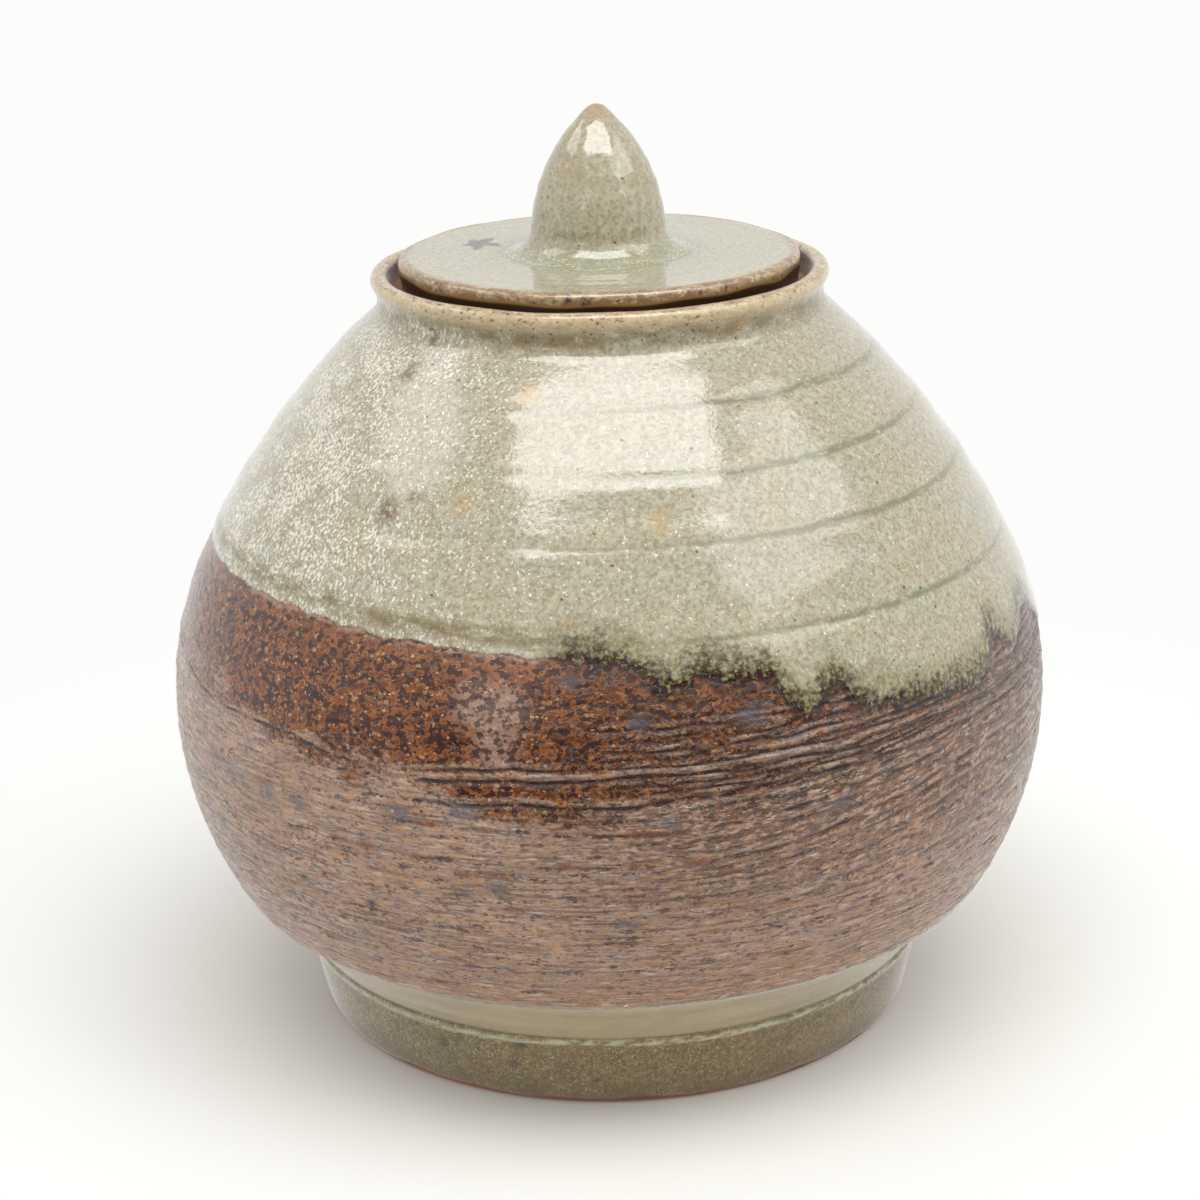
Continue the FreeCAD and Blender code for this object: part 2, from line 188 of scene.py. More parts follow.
def waves(angle, height, seed, count, turns, pitch):
    # a sum of cosines of whole turns of the angle plus a share of the height, about -1 to 1
    rng = np.random.default_rng(seed)
    total = 0
    for _ in range(count):
        around = rng.integers(turns[0], turns[1] + 1)
        up = fullTurn / rng.uniform(*pitch) * rng.choice([-1, 1])
        total = total + np.cos(around * angle + up * height + rng.uniform(0, fullTurn))
    return total / math.sqrt(2 * count)


def wander(angle, seed, kind):
    # waves that are the same at every height: their size, how many, fewest and most turns each
    size, count, fewest, most = kind
    return size * waves(angle, 0, seed, count, (fewest, most), (1, 2))


def spotMask(angle, height, radius, spots, stretch=1.0):
    # 1 in the middle of each (degrees, height, size) spot and 0 from its size outwards
    total = 0
    for degrees, level, size in spots:
        aside = np.radians(fromFront(angle, degrees - 180) - degrees) * radius / stretch
        distance = np.hypot(aside, height - level)
        total = np.maximum(total, 1 - ease(distance, 0.25 * size, size))
    return total


def newObject(name, data):
    made = bpy.data.objects.new(name, data)
    bpy.context.scene.collection.objects.link(made)
    return made


def turnedPiece(name, outline, columns, push=0, marks=None):
    # Row i, column j: the outline's point i moved out along its normal by push, then turned to
    # angle j: x = r sin a, y = -r cos a. A row on the axis is one point, a pole.
    angle = columnAngles(columns)
    onAxis = outline["radius"] < 1e-6
    radius = np.where(onAxis, 0, outline["radius"] + outline["outR"] * push) + 0 * angle
    height = outline["height"] + outline["outZ"] * push + 0 * angle
    points = np.stack([radius * np.sin(angle), -radius * np.cos(angle), height], -1)
    kept = np.ones(points.shape[:2], bool)
    kept[onAxis[:, 0], 1:] = False
    index = np.cumsum(kept).reshape(kept.shape) - 1
    lower, upper = (index, np.roll(index, -1, 0)) if outline["closed"] else (index[:-1], index[1:])
    quads = np.stack([lower, np.roll(lower, -1, 1), np.roll(upper, -1, 1), upper], -1).reshape(-1, 4)
    startsAtPole = quads[:, 0] == quads[:, 1]
    endsAtPole = quads[:, 2] == quads[:, 3]
    faces = quads[~startsAtPole & ~endsAtPole].tolist()
    faces += quads[startsAtPole][:, [0, 2, 3]].tolist() + quads[endsAtPole][:, :3].tolist()
    mesh = bpy.data.meshes.new(name)
    mesh.from_pydata((points[kept] * metresPerMm).tolist(), [], faces)
    mesh.polygons.foreach_set("use_smooth", np.ones(len(faces), bool))

    # skin: x, y and the length along the outline, in millimetres, which patterns follow
    flat = outline["radius"] + 0 * angle
    skin = np.stack([flat * np.sin(angle), -flat * np.cos(angle), outline["along"] + 0 * angle], -1)
    skinLayer = mesh.attributes.new("skin", "FLOAT_VECTOR", "POINT")
    skinLayer.data.foreach_set("vector", skin[kept].astype(np.float32).ravel())
    for label, values in (marks or {}).items():
        layer = mesh.attributes.new(label, "FLOAT", "POINT")
        layer.data.foreach_set("value", (values + 0 * height)[kept].astype(np.float32))
    mesh.update()
    return newObject(name, mesh)


def settle(piece, node, material):
    # the piece takes a imported node's place and body, and gets its material
    piece.data.materials.append(material)
    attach(piece, next(body for body, nodes in bodies.items() if node in nodes))
    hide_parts(node)
    slots = {part["node"]: part["material_slot"] for part in frame["record"]["subparts"]}
    slots[node]
    print(f"{piece.name}: {len(piece.data.vertices)} points, in place of {node}")


def tone(red, green, blue):
    # a colour as it is seen, 0 to 255, as the linear values that shaders take
    seen = np.array([red, green, blue]) / 255
    linear = np.where(seen <= 0.04045, seen / 12.92, ((seen + 0.055) / 1.055) ** 2.4)
    return (*(float(c) for c in linear), 1.0)


def toneSet(tones):
    return {name: tone(*value) for name, value in tones.items()}


class Field:
    # a value that varies over a surface: an output of a node, which takes + - * as numbers do
    def __init__(self, desk, socket):
        self.desk, self.socket = desk, socket

    def __add__(self, other):
        return self.desk.calc("ADD", self, other)

    def __sub__(self, other):
        return self.desk.calc("SUBTRACT", self, other)

    def __rsub__(self, other):
        return self.desk.calc("SUBTRACT", other, self)

    def __mul__(self, other):
        return self.desk.calc("MULTIPLY", self, other)

    __radd__, __rmul__ = __add__, __mul__


class NodeDesk:
    # Puts nodes into one tree, in rows from left to right. Its patterns follow its skin, a text in
    # place of a colour names one of its tones, and desk["name"] is a mark of the mesh.
    def __init__(self, tree):
        self.tree, self.count = tree, 0

    def __getitem__(self, mark):
        return self.attribute(mark, "Fac")

    def attribute(self, name, output):
        return self.field("Attribute", {}, output, attribute_name=name, attribute_type="GEOMETRY")

    def add(self, kind, inputs=None, **settings):
        node = self.tree.nodes.new("ShaderNode" + kind)
        node.location = (self.count % 12 * 200, -(self.count // 12) * 320)
        self.count += 1
        for name, value in settings.items():
            setattr(node, name, value)
        for name, value in (inputs or {}).items():
            self.feed(node.inputs[name], value)
        return node

    def feed(self, socket, value):
        value = self.tones[value] if isinstance(value, str) else value
        value = value.socket if isinstance(value, Field) else value
        if isinstance(value, bpy.types.NodeSocket):
            self.tree.links.new(value, socket)
        else:
            socket.default_value = value

    def field(self, kind, inputs, output=0, **settings):
        return Field(self, self.add(kind, inputs, **settings).outputs[output])

    def mix(self, share, low, high):
        return self.field("Mix", {0: share, 6: low, 7: high}, 2, data_type="RGBA")

    def coat(self, paint, share):
        # lays this much of a tone or colour over the colour so far
        self.colour = self.mix(share, self.colour, paint)

    def span(self, value, low, high, toLow=0.0, toHigh=1.0):
        # toLow at low, toHigh at high, and eased between them
        return self.field("MapRange", {0: value, 1: low, 2: high, 3: toLow, 4: toHigh},
                          interpolation_type="SMOOTHSTEP")

    def calc(self, operation, first, second=0.0, clamp=False):
        return self.field("Math", {0: first, 1: second}, operation=operation, use_clamp=clamp)

    def most(self, *values):
        total = values[0]
        for value in values[1:]:
            total = self.calc("MAXIMUM", total, value)
        return total

    def rest(self, value):
        return self.calc("SUBTRACT", 1.0, value, clamp=True)

    def near(self, value, middle, width):
        # 1 at the middle and 0 from the width outwards
        return self.span(self.calc("ABSOLUTE", value - middle), width, 0.0)

    def vectors(self, operation, first, second):
        return self.field("VectorMath", {0: first, 1: second}, operation=operation)

    def noise(self, vector, detail, output=0):
        inputs = {"Vector": vector, "Scale": 1.0, "Detail": detail, "Roughness": 0.55}
        return self.field("TexNoise", inputs, output)

    def effects(self, group, **inputs):
        node = self.add("Group", {"Vector": self.skin, **inputs}, node_tree=group)
        return [Field(self, output) for output in node.outputs]

    # Patterns: their size across the outline and along it in millimetres, and their seed. Clouds
    # turn from 0 at low to 1 at high. Flecks have a size in cells, a share of cells and raggedness.
    def clouds(self, across, along, seed, low, high, vector=None):
        return self.effects(clouds, Vector=vector or self.skin, Across=across, Along=along, Seed=seed,
                            Low=low, High=high)[0]

    def flecks(self, across, along, seed, size, share, ragged):
        return self.effects(flecks, Across=across, Along=along, Seed=seed, Size=size, Share=share,
                            Ragged=ragged)[0]


def newGroup(name, inputs, outputs):
    # A shader group. An input is a vector (None), a colour (a tuple) or a number, and each output
    # names its kind. The desk finds the inputs among its tones.
    kinds = {type(None): "NodeSocketVector", tuple: "NodeSocketColor", float: "NodeSocketFloat"}
    tree = bpy.data.node_groups.new(name, "ShaderNodeTree")
    for label, value in inputs.items():
        socket = tree.interface.new_socket(label, in_out="INPUT", socket_type=kinds[type(value)])
        if value is not None:
            socket.default_value = value
    for label, kind in outputs.items():
        tree.interface.new_socket(label, in_out="OUTPUT", socket_type="NodeSocket" + kind)
    desk = NodeDesk(tree)
    source = tree.nodes.new("NodeGroupInput")
    source.location = (-240, 0)
    given = desk.tones = {socket.name: Field(desk, socket) for socket in source.outputs}
    desk.skin = given["Vector"]
    result = tree.nodes.new("NodeGroupOutput")
    result.location = (2600, 0)
    return tree, desk, given, result.inputs


def stretched(desk, given):
    # the skin's vector over the size of the pattern, across the outline and along it
    across = desk.calc("DIVIDE", 1, given["Across"])
    scale = desk.field("CombineXYZ", {0: across, 1: across, 2: desk.calc("DIVIDE", 1, given["Along"])})
    return desk.vectors("ADD", desk.vectors("MULTIPLY", desk.skin, scale), given["Seed"])


def makeClouds():
    # noise eased from 0 at Low to 1 at High, so a narrow gap between them gives hard blotches
    tree, desk, given, result = newGroup(
        "clouds", {"Vector": None, "Across": 5.0, "Along": 5.0, "Seed": 0.0, "Low": 0.4, "High": 0.6},
        {"Value": "Float"})
    value = desk.noise(stretched(desk, given), 4)
    desk.feed(result["Value"], desk.span(value, given["Low"], given["High"]))
    return tree


def makeFlecks():
    # Cells with a dot in the Share of them that each cell's own chance picks. Size is a dot's
    # radius in cells.
    tree, desk, given, result = newGroup(
        "flecks", {"Vector": None, "Across": 1.0, "Along": 1.0, "Seed": 0.0, "Size": 0.4,
                   "Share": 0.5, "Ragged": 0.3}, {"Mask": "Float"})
    place = stretched(desk, given)
    shake = desk.noise(desk.vectors("MULTIPLY", place, (2.3, 2.3, 2.3)), 1, "Color")
    away = desk.vectors("MULTIPLY", desk.vectors("SUBTRACT", shake, (0.5, 0.5, 0.5)), given["Ragged"])
    cells = desk.add("TexVoronoi", {"Vector": desk.vectors("ADD", place, away), "Scale": 1.0,
                                    "Randomness": 0.9})
    chance = desk.add("SeparateColor", {0: cells.outputs["Color"]}).outputs
    varied = given["Size"] * desk.span(chance[1], 0, 1, 0.55, 1.15)
    dot = desk.span(cells.outputs["Distance"], varied, varied * 0.55)
    desk.feed(result["Mask"], dot * desk.calc("GREATER_THAN", given["Share"], chance[0]))
    return tree


def makeAshGlaze():
    # Pale ash glaze: soft clouds of two tones, a fine grain, and broken crystals that run down with
    # the glaze. Bloom from 0 to 1 makes them close up, and Specks is the share of iron specks.
    names = ["Warm", "Grey", "Shade", "Pale", "Gold", "Crystal", "Speck"]
    tree, desk, given, result = newGroup(
        "ashGlaze", {"Vector": None, **dict.fromkeys(names, tone(160, 160, 160)), "Bloom": 0.3,
                     "Specks": 0.4}, {"Color": "Color", "Crystals": "Float"})
    desk.colour = desk.mix(desk.clouds(11, 9, 3, 0.38, 0.62), "Warm", "Grey")
    desk.coat("Shade", desk.clouds(0.75, 0.8, 9, 0.44, 0.62) * 0.75)
    desk.coat("Pale", desk.clouds(1.3, 2, 5, 0.48, 0.66) * 0.55)
    desk.coat("Gold", desk.flecks(0.7, 0.8, 2, 0.42, 0.34, 0.9) * 0.55)
    bloom = given["Bloom"] * (0.45 + 0.55 * desk.clouds(7, 8, 12, 0.3, 0.62))
    start = 0.66 - 0.185 * bloom
    crystals = desk.clouds(0.55, 1.15, 6, start, start + 0.06)
    dots = desk.flecks(0.95, 1, 8, 0.28, 0.1 + 0.3 * bloom, 0.7)
    crystals = desk.most(crystals * 0.85, dots * 0.8)
    desk.coat("Crystal", crystals * 0.85)
    desk.coat("Speck", desk.flecks(3, 3, 4, 0.12, given["Specks"], 0.35) * 0.85)
    desk.feed(result["Color"], desk.colour)
    desk.feed(result["Crystals"], crystals)
    return tree


def makeWornRim():
    # glaze worn off a rim: cream with tan wear, and dark iron burnt through here and there
    tree, desk, given, result = newGroup(
        "wornRim", {"Vector": None, "Cream": tone(196, 178, 144), "Tan": tone(146, 110, 78),
                    "Burnt": tone(82, 54, 42), "Wear": 0.5}, {"Color": "Color"})
    wear = given["Wear"]
    desk.colour = desk.mix(desk.clouds(3, 1.6, 70, 0.4, 0.6) * wear, "Cream", "Tan")
    desk.coat("Tan", desk.clouds(0.7, 0.6, 71, 0.42, 0.58) * wear * 0.9)
    desk.coat("Burnt", desk.clouds(1.5, 1.2, 72, 0.6, 0.66) * wear)
    desk.feed(result["Color"], desk.colour)
    return tree


def makeBareClay():
    # toasted clay: fine grog, and throwing lines that run round the piece
    tree, desk, _, result = newGroup(
        "bareClay", {"Vector": None, "Light": tone(172, 128, 94), "Dark": tone(116, 80, 58)},
        {"Color": "Color", "Grain": "Float"})
    lines = desk.clouds(14, 0.7, 2, 0.35, 0.68)
    grain = desk.most(lines, desk.flecks(1.1, 1.1, 5, 0.3, 0.35, 0.8))
    desk.feed(result["Color"], desk.mix(grain * 0.8, "Light", "Dark"))
    desk.feed(result["Grain"], grain)
    return tree


clouds = makeClouds()
flecks = makeFlecks()
ashGlaze = makeAshGlaze()
wornRim = makeWornRim()
bareClay = makeBareClay()
print("shader groups made")


def clearedDesk(owner):
    # the desk of a material or world, cleared of the nodes that it starts with
    owner.use_nodes = True
    owner.node_tree.nodes.clear()
    desk = NodeDesk(owner.node_tree)
    desk.owner = owner
    return desk


def newGlaze(name, tones):
    desk = clearedDesk(bpy.data.materials.new(name))
    desk.tones = toneSet(tones)
    desk.skin = desk.attribute("skin", "Vector")
    return desk


def firedShader(desk, roughness, height, depth, ior=1.5, sheen=0.0):
    # the ceramic itself: Principled in the desk's colour, with a bump of the given depth in metres
    bump = desk.add("Bump", {"Height": height, "Distance": depth, "Strength": 1.0})
    shader = desk.add("BsdfPrincipled", {"Base Color": desk.colour, "Roughness": roughness, "IOR": ior,
                                         "Normal": bump.outputs[0], "Sheen Weight": sheen,
                                         "Sheen Roughness": 0.3})
    desk.add("OutputMaterial", {"Surface": shader.outputs[0]})
    return desk.owner


camera = {
    "place": (-0.0016, -0.5500, 0.2715),
    "down": 18.84,          # degrees below the horizon
    "roll": -1.485,
    "lens": 83.65,          # millimetres on a 36 mm sensor
}

studio = {
    "fill": 0.80,           # even light from all round
    "aim": (0.0, 0.0, 0.09),
    # each box: its place, its size, the light that it throws and how bright its mirror image is
    "boxes": {
        "overhead": ((0.05, -0.33, 1.10), (0.98, 0.52), 3.2, 7.0),
        "left": ((-0.80, 0.10, 0.95), (0.66, 0.32), 1.2, 2.8),
        "right": ((0.85, -0.32, 0.95), (0.95, 0.50), 1.9, 2.8),
        "front": ((-0.47, -0.88, 0.45), (0.20, 0.24), 0.0, 2.4),
    },
    "twinNearer": 0.98,     # distance of the box that gloss mirrors, over that of the one that lights
    "floorRadius": 3.0, "floorTone": (241, 241, 238),
    "fade": (0.09, 0.29),   # distances over which the floor turns to plain white
    "white": (1.0, 1.0, 0.995, 1.0), "whiteness": 0.975,
    # gloss mirrors a room that turns dark low in front, between these parts of a direction of length
    # 1, and a floor that turns dark between these places, in metres
    "mirroredFront": 0.10, "frontward": (-0.40, -0.85), "low": (0.50, 0.20), "floorDark": (-0.30, 0.06),
}


def makeCamera():
    data = bpy.data.cameras.new("camera")
    data.sensor_fit = "HORIZONTAL"
    data.sensor_width = 36
    data.lens = camera["lens"]
    data.clip_start = 0.01
    seer = newObject("camera", data)
    tilt = Matrix.Rotation(math.radians(90 - camera["down"]), 4, "X")
    roll = Matrix.Rotation(math.radians(camera["roll"]), 4, "Z")
    seer.matrix_world = Matrix.Translation(camera["place"]) @ tilt @ roll
    bpy.context.scene.camera = seer


def areaLamp(name, place, size, radiance, gleams):
    # Watts = radiance * pi * area, and the lamp looks at the pot. One lamp lights the matte part
    # of a surface, and its twin, a little nearer, is what gloss mirrors.
    data = bpy.data.lights.new(name, "AREA")
    data.shape = "RECTANGLE"
    data.size, data.size_y = size
    data.energy = radiance * math.pi * size[0] * size[1]
    lamp = newObject(name, data)
    away = (Vector(place) - Vector(studio["aim"])) * (studio["twinNearer"] if gleams else 1.0)
    turn = away.to_track_quat("Z", "Y").to_matrix().to_4x4()
    lamp.matrix_world = Matrix.Translation(Vector(studio["aim"]) + away) @ turn
    lamp.visible_camera = False
    lamp.visible_glossy = gleams
    lamp.visible_diffuse = not gleams


def seenPlainly(desk):
    # 1 for rays that look, mirror or pass through, 0 for rays that carry light
    path = desk.add("LightPath").outputs
    return desk.most(path["Is Camera Ray"], path["Is Glossy Ray"], path["Is Transmission Ray"])


def makeStudio():
    desk = clearedDesk(bpy.data.worlds.new("studio"))
    bpy.context.scene.world = desk.owner
    way = desk.add("SeparateXYZ", {0: desk.add("TexCoord").outputs["Generated"]}).outputs
    glossy = desk.add("LightPath").outputs["Is Glossy Ray"]
    room = desk.span(way[1], *studio["frontward"]) * desk.span(way[2], *studio["low"]) * glossy
    plain = desk.span(room, 0, 1, studio["whiteness"], studio["mirroredFront"])
    strength = desk.field("Mix", {0: seenPlainly(desk), 2: studio["fill"], 3: plain})
    light = desk.add("Background", {"Color": studio["white"], "Strength": strength})
    desk.add("OutputWorld", {"Surface": light.outputs[0]})
    for name, (place, size, light, gleam) in studio["boxes"].items():
        if light:
            areaLamp(name + "Light", place, size, light, False)
        areaLamp(name + "Gleam", place, size, gleam, True)

    # a disc: its rim is radius * (cos t, sin t)
    turn = np.linspace(0, fullTurn, 96, endpoint=False)
    rim = np.column_stack([np.cos(turn), np.sin(turn), 0 * turn]) * studio["floorRadius"]
    mesh = bpy.data.meshes.new("floor")
    mesh.from_pydata(rim.tolist(), [], [list(range(len(rim)))])
    mesh.materials.append(makeFloorPaper())
    newObject("floor", mesh)
    bpy.context.scene.view_settings.view_transform = "Standard"


def makeFloorPaper():
    # pale paper round the pot, which takes its shadow, and plain white further out
    desk = clearedDesk(bpy.data.materials.new("floorPaper"))
    place = desk.add("TexCoord").outputs["Object"]
    distance = desk.field("VectorMath", {0: place}, "Value", operation="LENGTH")
    path = desk.add("LightPath").outputs
    glossy = path["Is Glossy Ray"]
    seen = desk.span(distance, *studio["fade"]) * desk.most(path["Is Camera Ray"],
                                                            path["Is Transmission Ray"])
    back = desk.field("SeparateXYZ", {0: place}, 1)
    mirrored = desk.span(back, *studio["floorDark"], studio["mirroredFront"], studio["whiteness"])
    strength = desk.field("Mix", {0: glossy, 2: studio["whiteness"], 3: mirrored})
    paper = desk.field("BsdfDiffuse", {"Color": tone(*studio["floorTone"])})
    white = desk.field("Emission", {"Color": studio["white"], "Strength": strength})
    blend = desk.field("MixShader", {0: desk.most(seen, glossy), 1: paper, 2: white})
    desk.add("OutputMaterial", {"Surface": blend})
    return desk.owner


makeCamera()
makeStudio()
print("camera and studio made")


pot = {
    "columns": 300,
    # curves of the wall, in millimetres
    "bellyLevel": 67.5, "lowerCurve": 71, "upperCurve": 68, "shoulderCurve": 160,
    "bandTop": 30, "bandCurve": 45, "footGroove": 0.6, "grooveFilled": 0.9,
    "neckLevel": 149.5, "neckCove": 4.5, "lipOverhang": 1.4, "lipBand": 1.8, "lipThickness": 3.1,
    "lipRound": 1.4, "galleryGap": 1.2, "galleryDepth": 4.2, "galleryFlare": 1.2, "ledgeWidth": 5.0,
    "edgeRound": 0.6, "wall": 5.5, "floorThickness": 7, "floorFillet": 22,
    # hand of the thrower, in millimetres
    "wobble": 0.22, "swell": 0.12, "ringDepth": 0.17, "ringWidth": 0.9,
    # waves round the pot: (size, how many, fewest and most turns each)
    "ringWander": (0.5, 3, 1, 4), "ringShake": (0.12, 8, 20, 60), "lipWander": (0.10, 8, 2, 14),
    "combWander": (0.30, 5, 1, 9), "combShake": (0.26, 10, 16, 72), "combPress": (0.65, 10, 8, 66),
    "strokeShake": (0.26, 8, 10, 70), "strokePress": (0.38, 8, 8, 60), "ashShake": (0.3, 9, 20, 70),
    "ringLevels": (138.3, 128.5, 117.2, 102.6),
    # comb: fine lines all the way down, which climb on the right with the stroke
    "combTop": 92.0, "combBottom": 31.5, "combPitch": 1.6, "combDepth": 0.27, "crestHeight": 0.18,
    "combSeed": 14, "combWidth": (0.36, 0.50), "combForce": (0.45, 1.0), "combUneven": (0.55, 1.45),
    "clayGrain": 0.06,
    "strokeRise": 9.0, "strokeRiseAt": 66.0, "strokeSpread": 13, "climbs": (8, 56), "returns": (120, 190),
    "combDeepens": 0.7, "deepAt": (74, 15),
    # millimetres past their edge over which finishes set in, then heights over which others do
    "ashRises": (-0.7, 1.2), "ironRises": (-0.4, 1.6), "bandRises": (0, 1.5), "ashInside": 40.0,
    "swellRises": (60, 110), "grooveFades": (19.5, 16.3), "darkRises": (36, 76), "neckRises": (146.0, 150.0),
    "strokes": [
        ([(-25, 78.3), (-18, 78.7), (-14, 79.4), (-2, 79.7), (2, 80.5), (12, 80.3), (22, 81.1), (27, 80.4),
          (34, 81.6), (60, 80.6), (96, 82.0), (140, 79.5)], 0.48, 1.7),
        ([(-28, 79.1), (-20, 80.4), (-15, 81.3), (-11, 81.7), (-5, 81.5)], 0.38, 1.3),
        ([(-31, 74.0), (-25, 74.6), (-18, 74.4), (-11, 75.2), (-6, 74.9), (2, 74.8), (6, 75.4), (10, 76.5),
          (17, 76.8), (25, 77.4), (32, 77.2), (52, 78.4), (80, 76.8)], 0.45, 1.5),
        ([(9, 74.0), (15, 74.4), (21, 74.3), (25, 74.5), (29, 73.5), (44, 74.6)], 0.42, 1.2),
        ([(14, 83.1), (20, 82.7), (25, 83.5), (30, 83.9), (48, 85.0), (66, 84.2)], 0.45, 1.4),
        ([(1, 86.4), (7, 86.8), (11, 87.7)], 0.32, 0.9),
        ([(7, 85.4), (11, 84.2), (14, 81.8), (18, 80.2)], 0.40, 1.3),
        ([(-74, 83.6), (-67, 81.8), (-58, 81.1), (-51, 81.2), (-43, 81.4), (-37, 80.0), (-33, 79.6),
          (-29, 77.4), (-26, 76.4)], 0.30, 1.15),
        ([(26, 87.0), (34, 87.4), (44, 88.2)], 0.4, 1.0),
        ([(104, 80.6), (150, 82.4), (196, 80.4), (236, 81.6), (285, 83.4)], 0.48, 1.5),
        ([(92, 75.6), (130, 77.0), (176, 75.4), (220, 77.2), (262, 75.2), (284, 76.2)], 0.45, 1.4),
        ([(168, 84.4), (190, 85.6), (214, 84.8)], 0.4, 1.1),
    ],
    # sides, in degrees, where the comb is pressed hard, and heights between which it fades out
    "hardSide": ((-14, 10), (80, 110)), "hardBehind": [(200, 45, 0.8)],
    "softTop": (82, 68), "hardTop": (93, 88),
    # humps round the pot: (degrees, width, strength)
    "strongRings": [(45, 48, 0.60), (190, 60, 0.3)], "bloomSides": [(-62, 42, 0.9), (170, 40, 0.5)],
    # orange places in the rust: (degrees, width, height, how tall)
    "orangePlaces": [(-22, 15, 88, 9), (0, 9, 92, 6), (150, 22, 82, 8)],
    "ashThickness": 0.36, "bandThickness": 0.10, "fired": {"depth": 0.00011, "ior": 1.55, "sheen": 0.45},
    # lower edge of the ash glaze: (degrees, height)
    "ashEdge": [(-81, 103), (-46, 102.8), (-31, 101.8), (-9, 100.7), (1, 100.1), (4, 98.7), (6, 95.6),
                (9, 95.9), (11, 98.1), (14, 96.1), (20, 95.6), (22, 91.2), (24, 87.8), (27, 91.5),
                (29, 92.9), (31, 88.8), (35, 87.4), (42, 85.5), (53, 83.9), (57, 86.1), (58, 91),
                (65, 85.7), (72, 89.8), (84, 80.6), (97, 84), (108, 79.5), (121, 86), (130, 84),
                (141, 90), (149, 86), (160, 93), (174, 90), (188, 96), (203, 94), (220, 100.5),
                (240, 102.4), (262, 103)],
    "raggedFrom": (-10, -4), "raggedTo": (204, 214),     # degrees between which the edge is frayed
    # lower edge of the bright rust, above the combed lines: (degrees, height)
    "rustEdge": [(-81, 85), (-60, 84), (-45, 81), (-31, 77), (-10, 74.5), (10, 74.0), (22, 75), (38, 78),
                 (55, 84), (84, 84), (120, 80), (170, 76), (220, 80), (260, 84)],
    "bandEdge": 29.3, "bandTilt": 2.6,
    # spots: (degrees, height, size), and how much longer than high they are
    "spots": {
        "brownSpots": [(-46, 142, 3.0), (-36, 121, 3.2), (-45, 147.4, 2.2), (-32, 124, 1.8),
                       (131, 135, 3.2), (196, 118, 3.0), (243, 139, 2.6)],
        "goldSpots": [(-23, 124, 2.8), (-15, 141, 3.0), (-5, 106, 1.8), (36, 150.5, 1.6), (8, 121.5, 3.4),
                      (152, 112, 2.6), (214, 131, 2.2)],
        "blueSpots": [(17, 89.5, 2.8), (3, 89.5, 1.8), (-5, 96.7, 1.8), (1, 51, 2.0), (-26, 71.5, 2.8),
                      (-18, 73, 2.8), (-59, 70, 2.6), (-54, 68.4, 2.8), (-47, 68, 2.6), (-41, 68.2, 2.4),
                      (-14, 58.3, 2.2), (-18, 56.5, 1.6), (6, 72, 2.0), (28, 71, 2.2), (118, 64, 3.4),
                      (167, 72, 3.0), (205, 58, 3.2), (238, 70, 3.0)],
        "thinGlazeSheenSpots": [(-17, 92.5, 6.0), (-13, 92.0, 6.0), (-14, 86.0, 6.5), (134, 88, 7.0), (222, 90, 7.5)],
        "darkSpots": [(-31, 50.9, 1.5), (-42, 52.2, 1.1), (150, 49, 1.3), (228, 52, 1.4)],
        "rustDashes": [(-30.5, 63.7, 1.0), (-24, 63.1, 0.9), (-30, 59.1, 0.9), (-22, 70.3, 1.2),
                       (-17, 60.7, 1.0), (-13.6, 61.2, 0.9), (-5.7, 63.7, 1.1), (2.8, 63.6, 1.2),
                       (9.6, 63.9, 1.2), (3, 70.3, 1.2), (64, 62, 1.2), (120, 70, 1.2), (171, 61, 1.1),
                       (212, 66, 1.2), (251, 60, 1.0)],
    },
    "stretch": {"blueSpots": 1.5, "rustDashes": 3.2},
    "ash": {"Warm": (172, 162, 138), "Grey": (166, 163, 142), "Shade": (138, 126, 100),
            "Pale": (190, 186, 166), "Gold": (206, 194, 148), "Crystal": (238, 236, 222),
            "Speck": (66, 58, 48)},
    "tones": {
        "ringGreen": (112, 114, 84), "neckTanShade": (118, 100, 64), "brownSpot": (104, 78, 50),
        "goldSpot": (176, 146, 84), "oliveDark": (52, 42, 14), "olive": (116, 102, 56),
        "oliveLine": (110, 94, 46), "oliveSeed": (168, 152, 104), "edgeDark": (70, 50, 46),
        "edgePale": (184, 150, 132), "edgeTan": (140, 92, 58), "rust": (110, 58, 28),
        "rustRed": (86, 39, 20), "cell": (52, 18, 8), "ring": (156, 99, 46), "ringOrange": (150, 86, 20),
        "grain": (176, 134, 92), "spark": (214, 176, 128), "burnt": (28, 12, 8), "smoke": (58, 38, 30),
        "mauve": (174, 144, 129), "mauveGrey": (160, 136, 123), "mauveWarm": (160, 112, 72),
        "tan": (186, 144, 102), "glint": (204, 180, 160), "line": (74, 48, 36), "brown": (84, 54, 38),
        "trough": (46, 26, 18), "crest": (166, 140, 118), "blueGrey": (82, 84, 94),
        "darkSpot": (40, 32, 34), "quartz": (222, 214, 200), "dash": (124, 60, 18),
        "band": (174, 155, 116), "bandShade": (150, 134, 98), "bandLine": (78, 62, 34),
        "bandPale": (192, 178, 142), "inside": (150, 128, 96), "galleryBrownShade": (74, 50, 32),
        "lipCream": (202, 186, 152), "lipTan": (160, 130, 94), "rimSpeck": (92, 64, 44),
    },
}


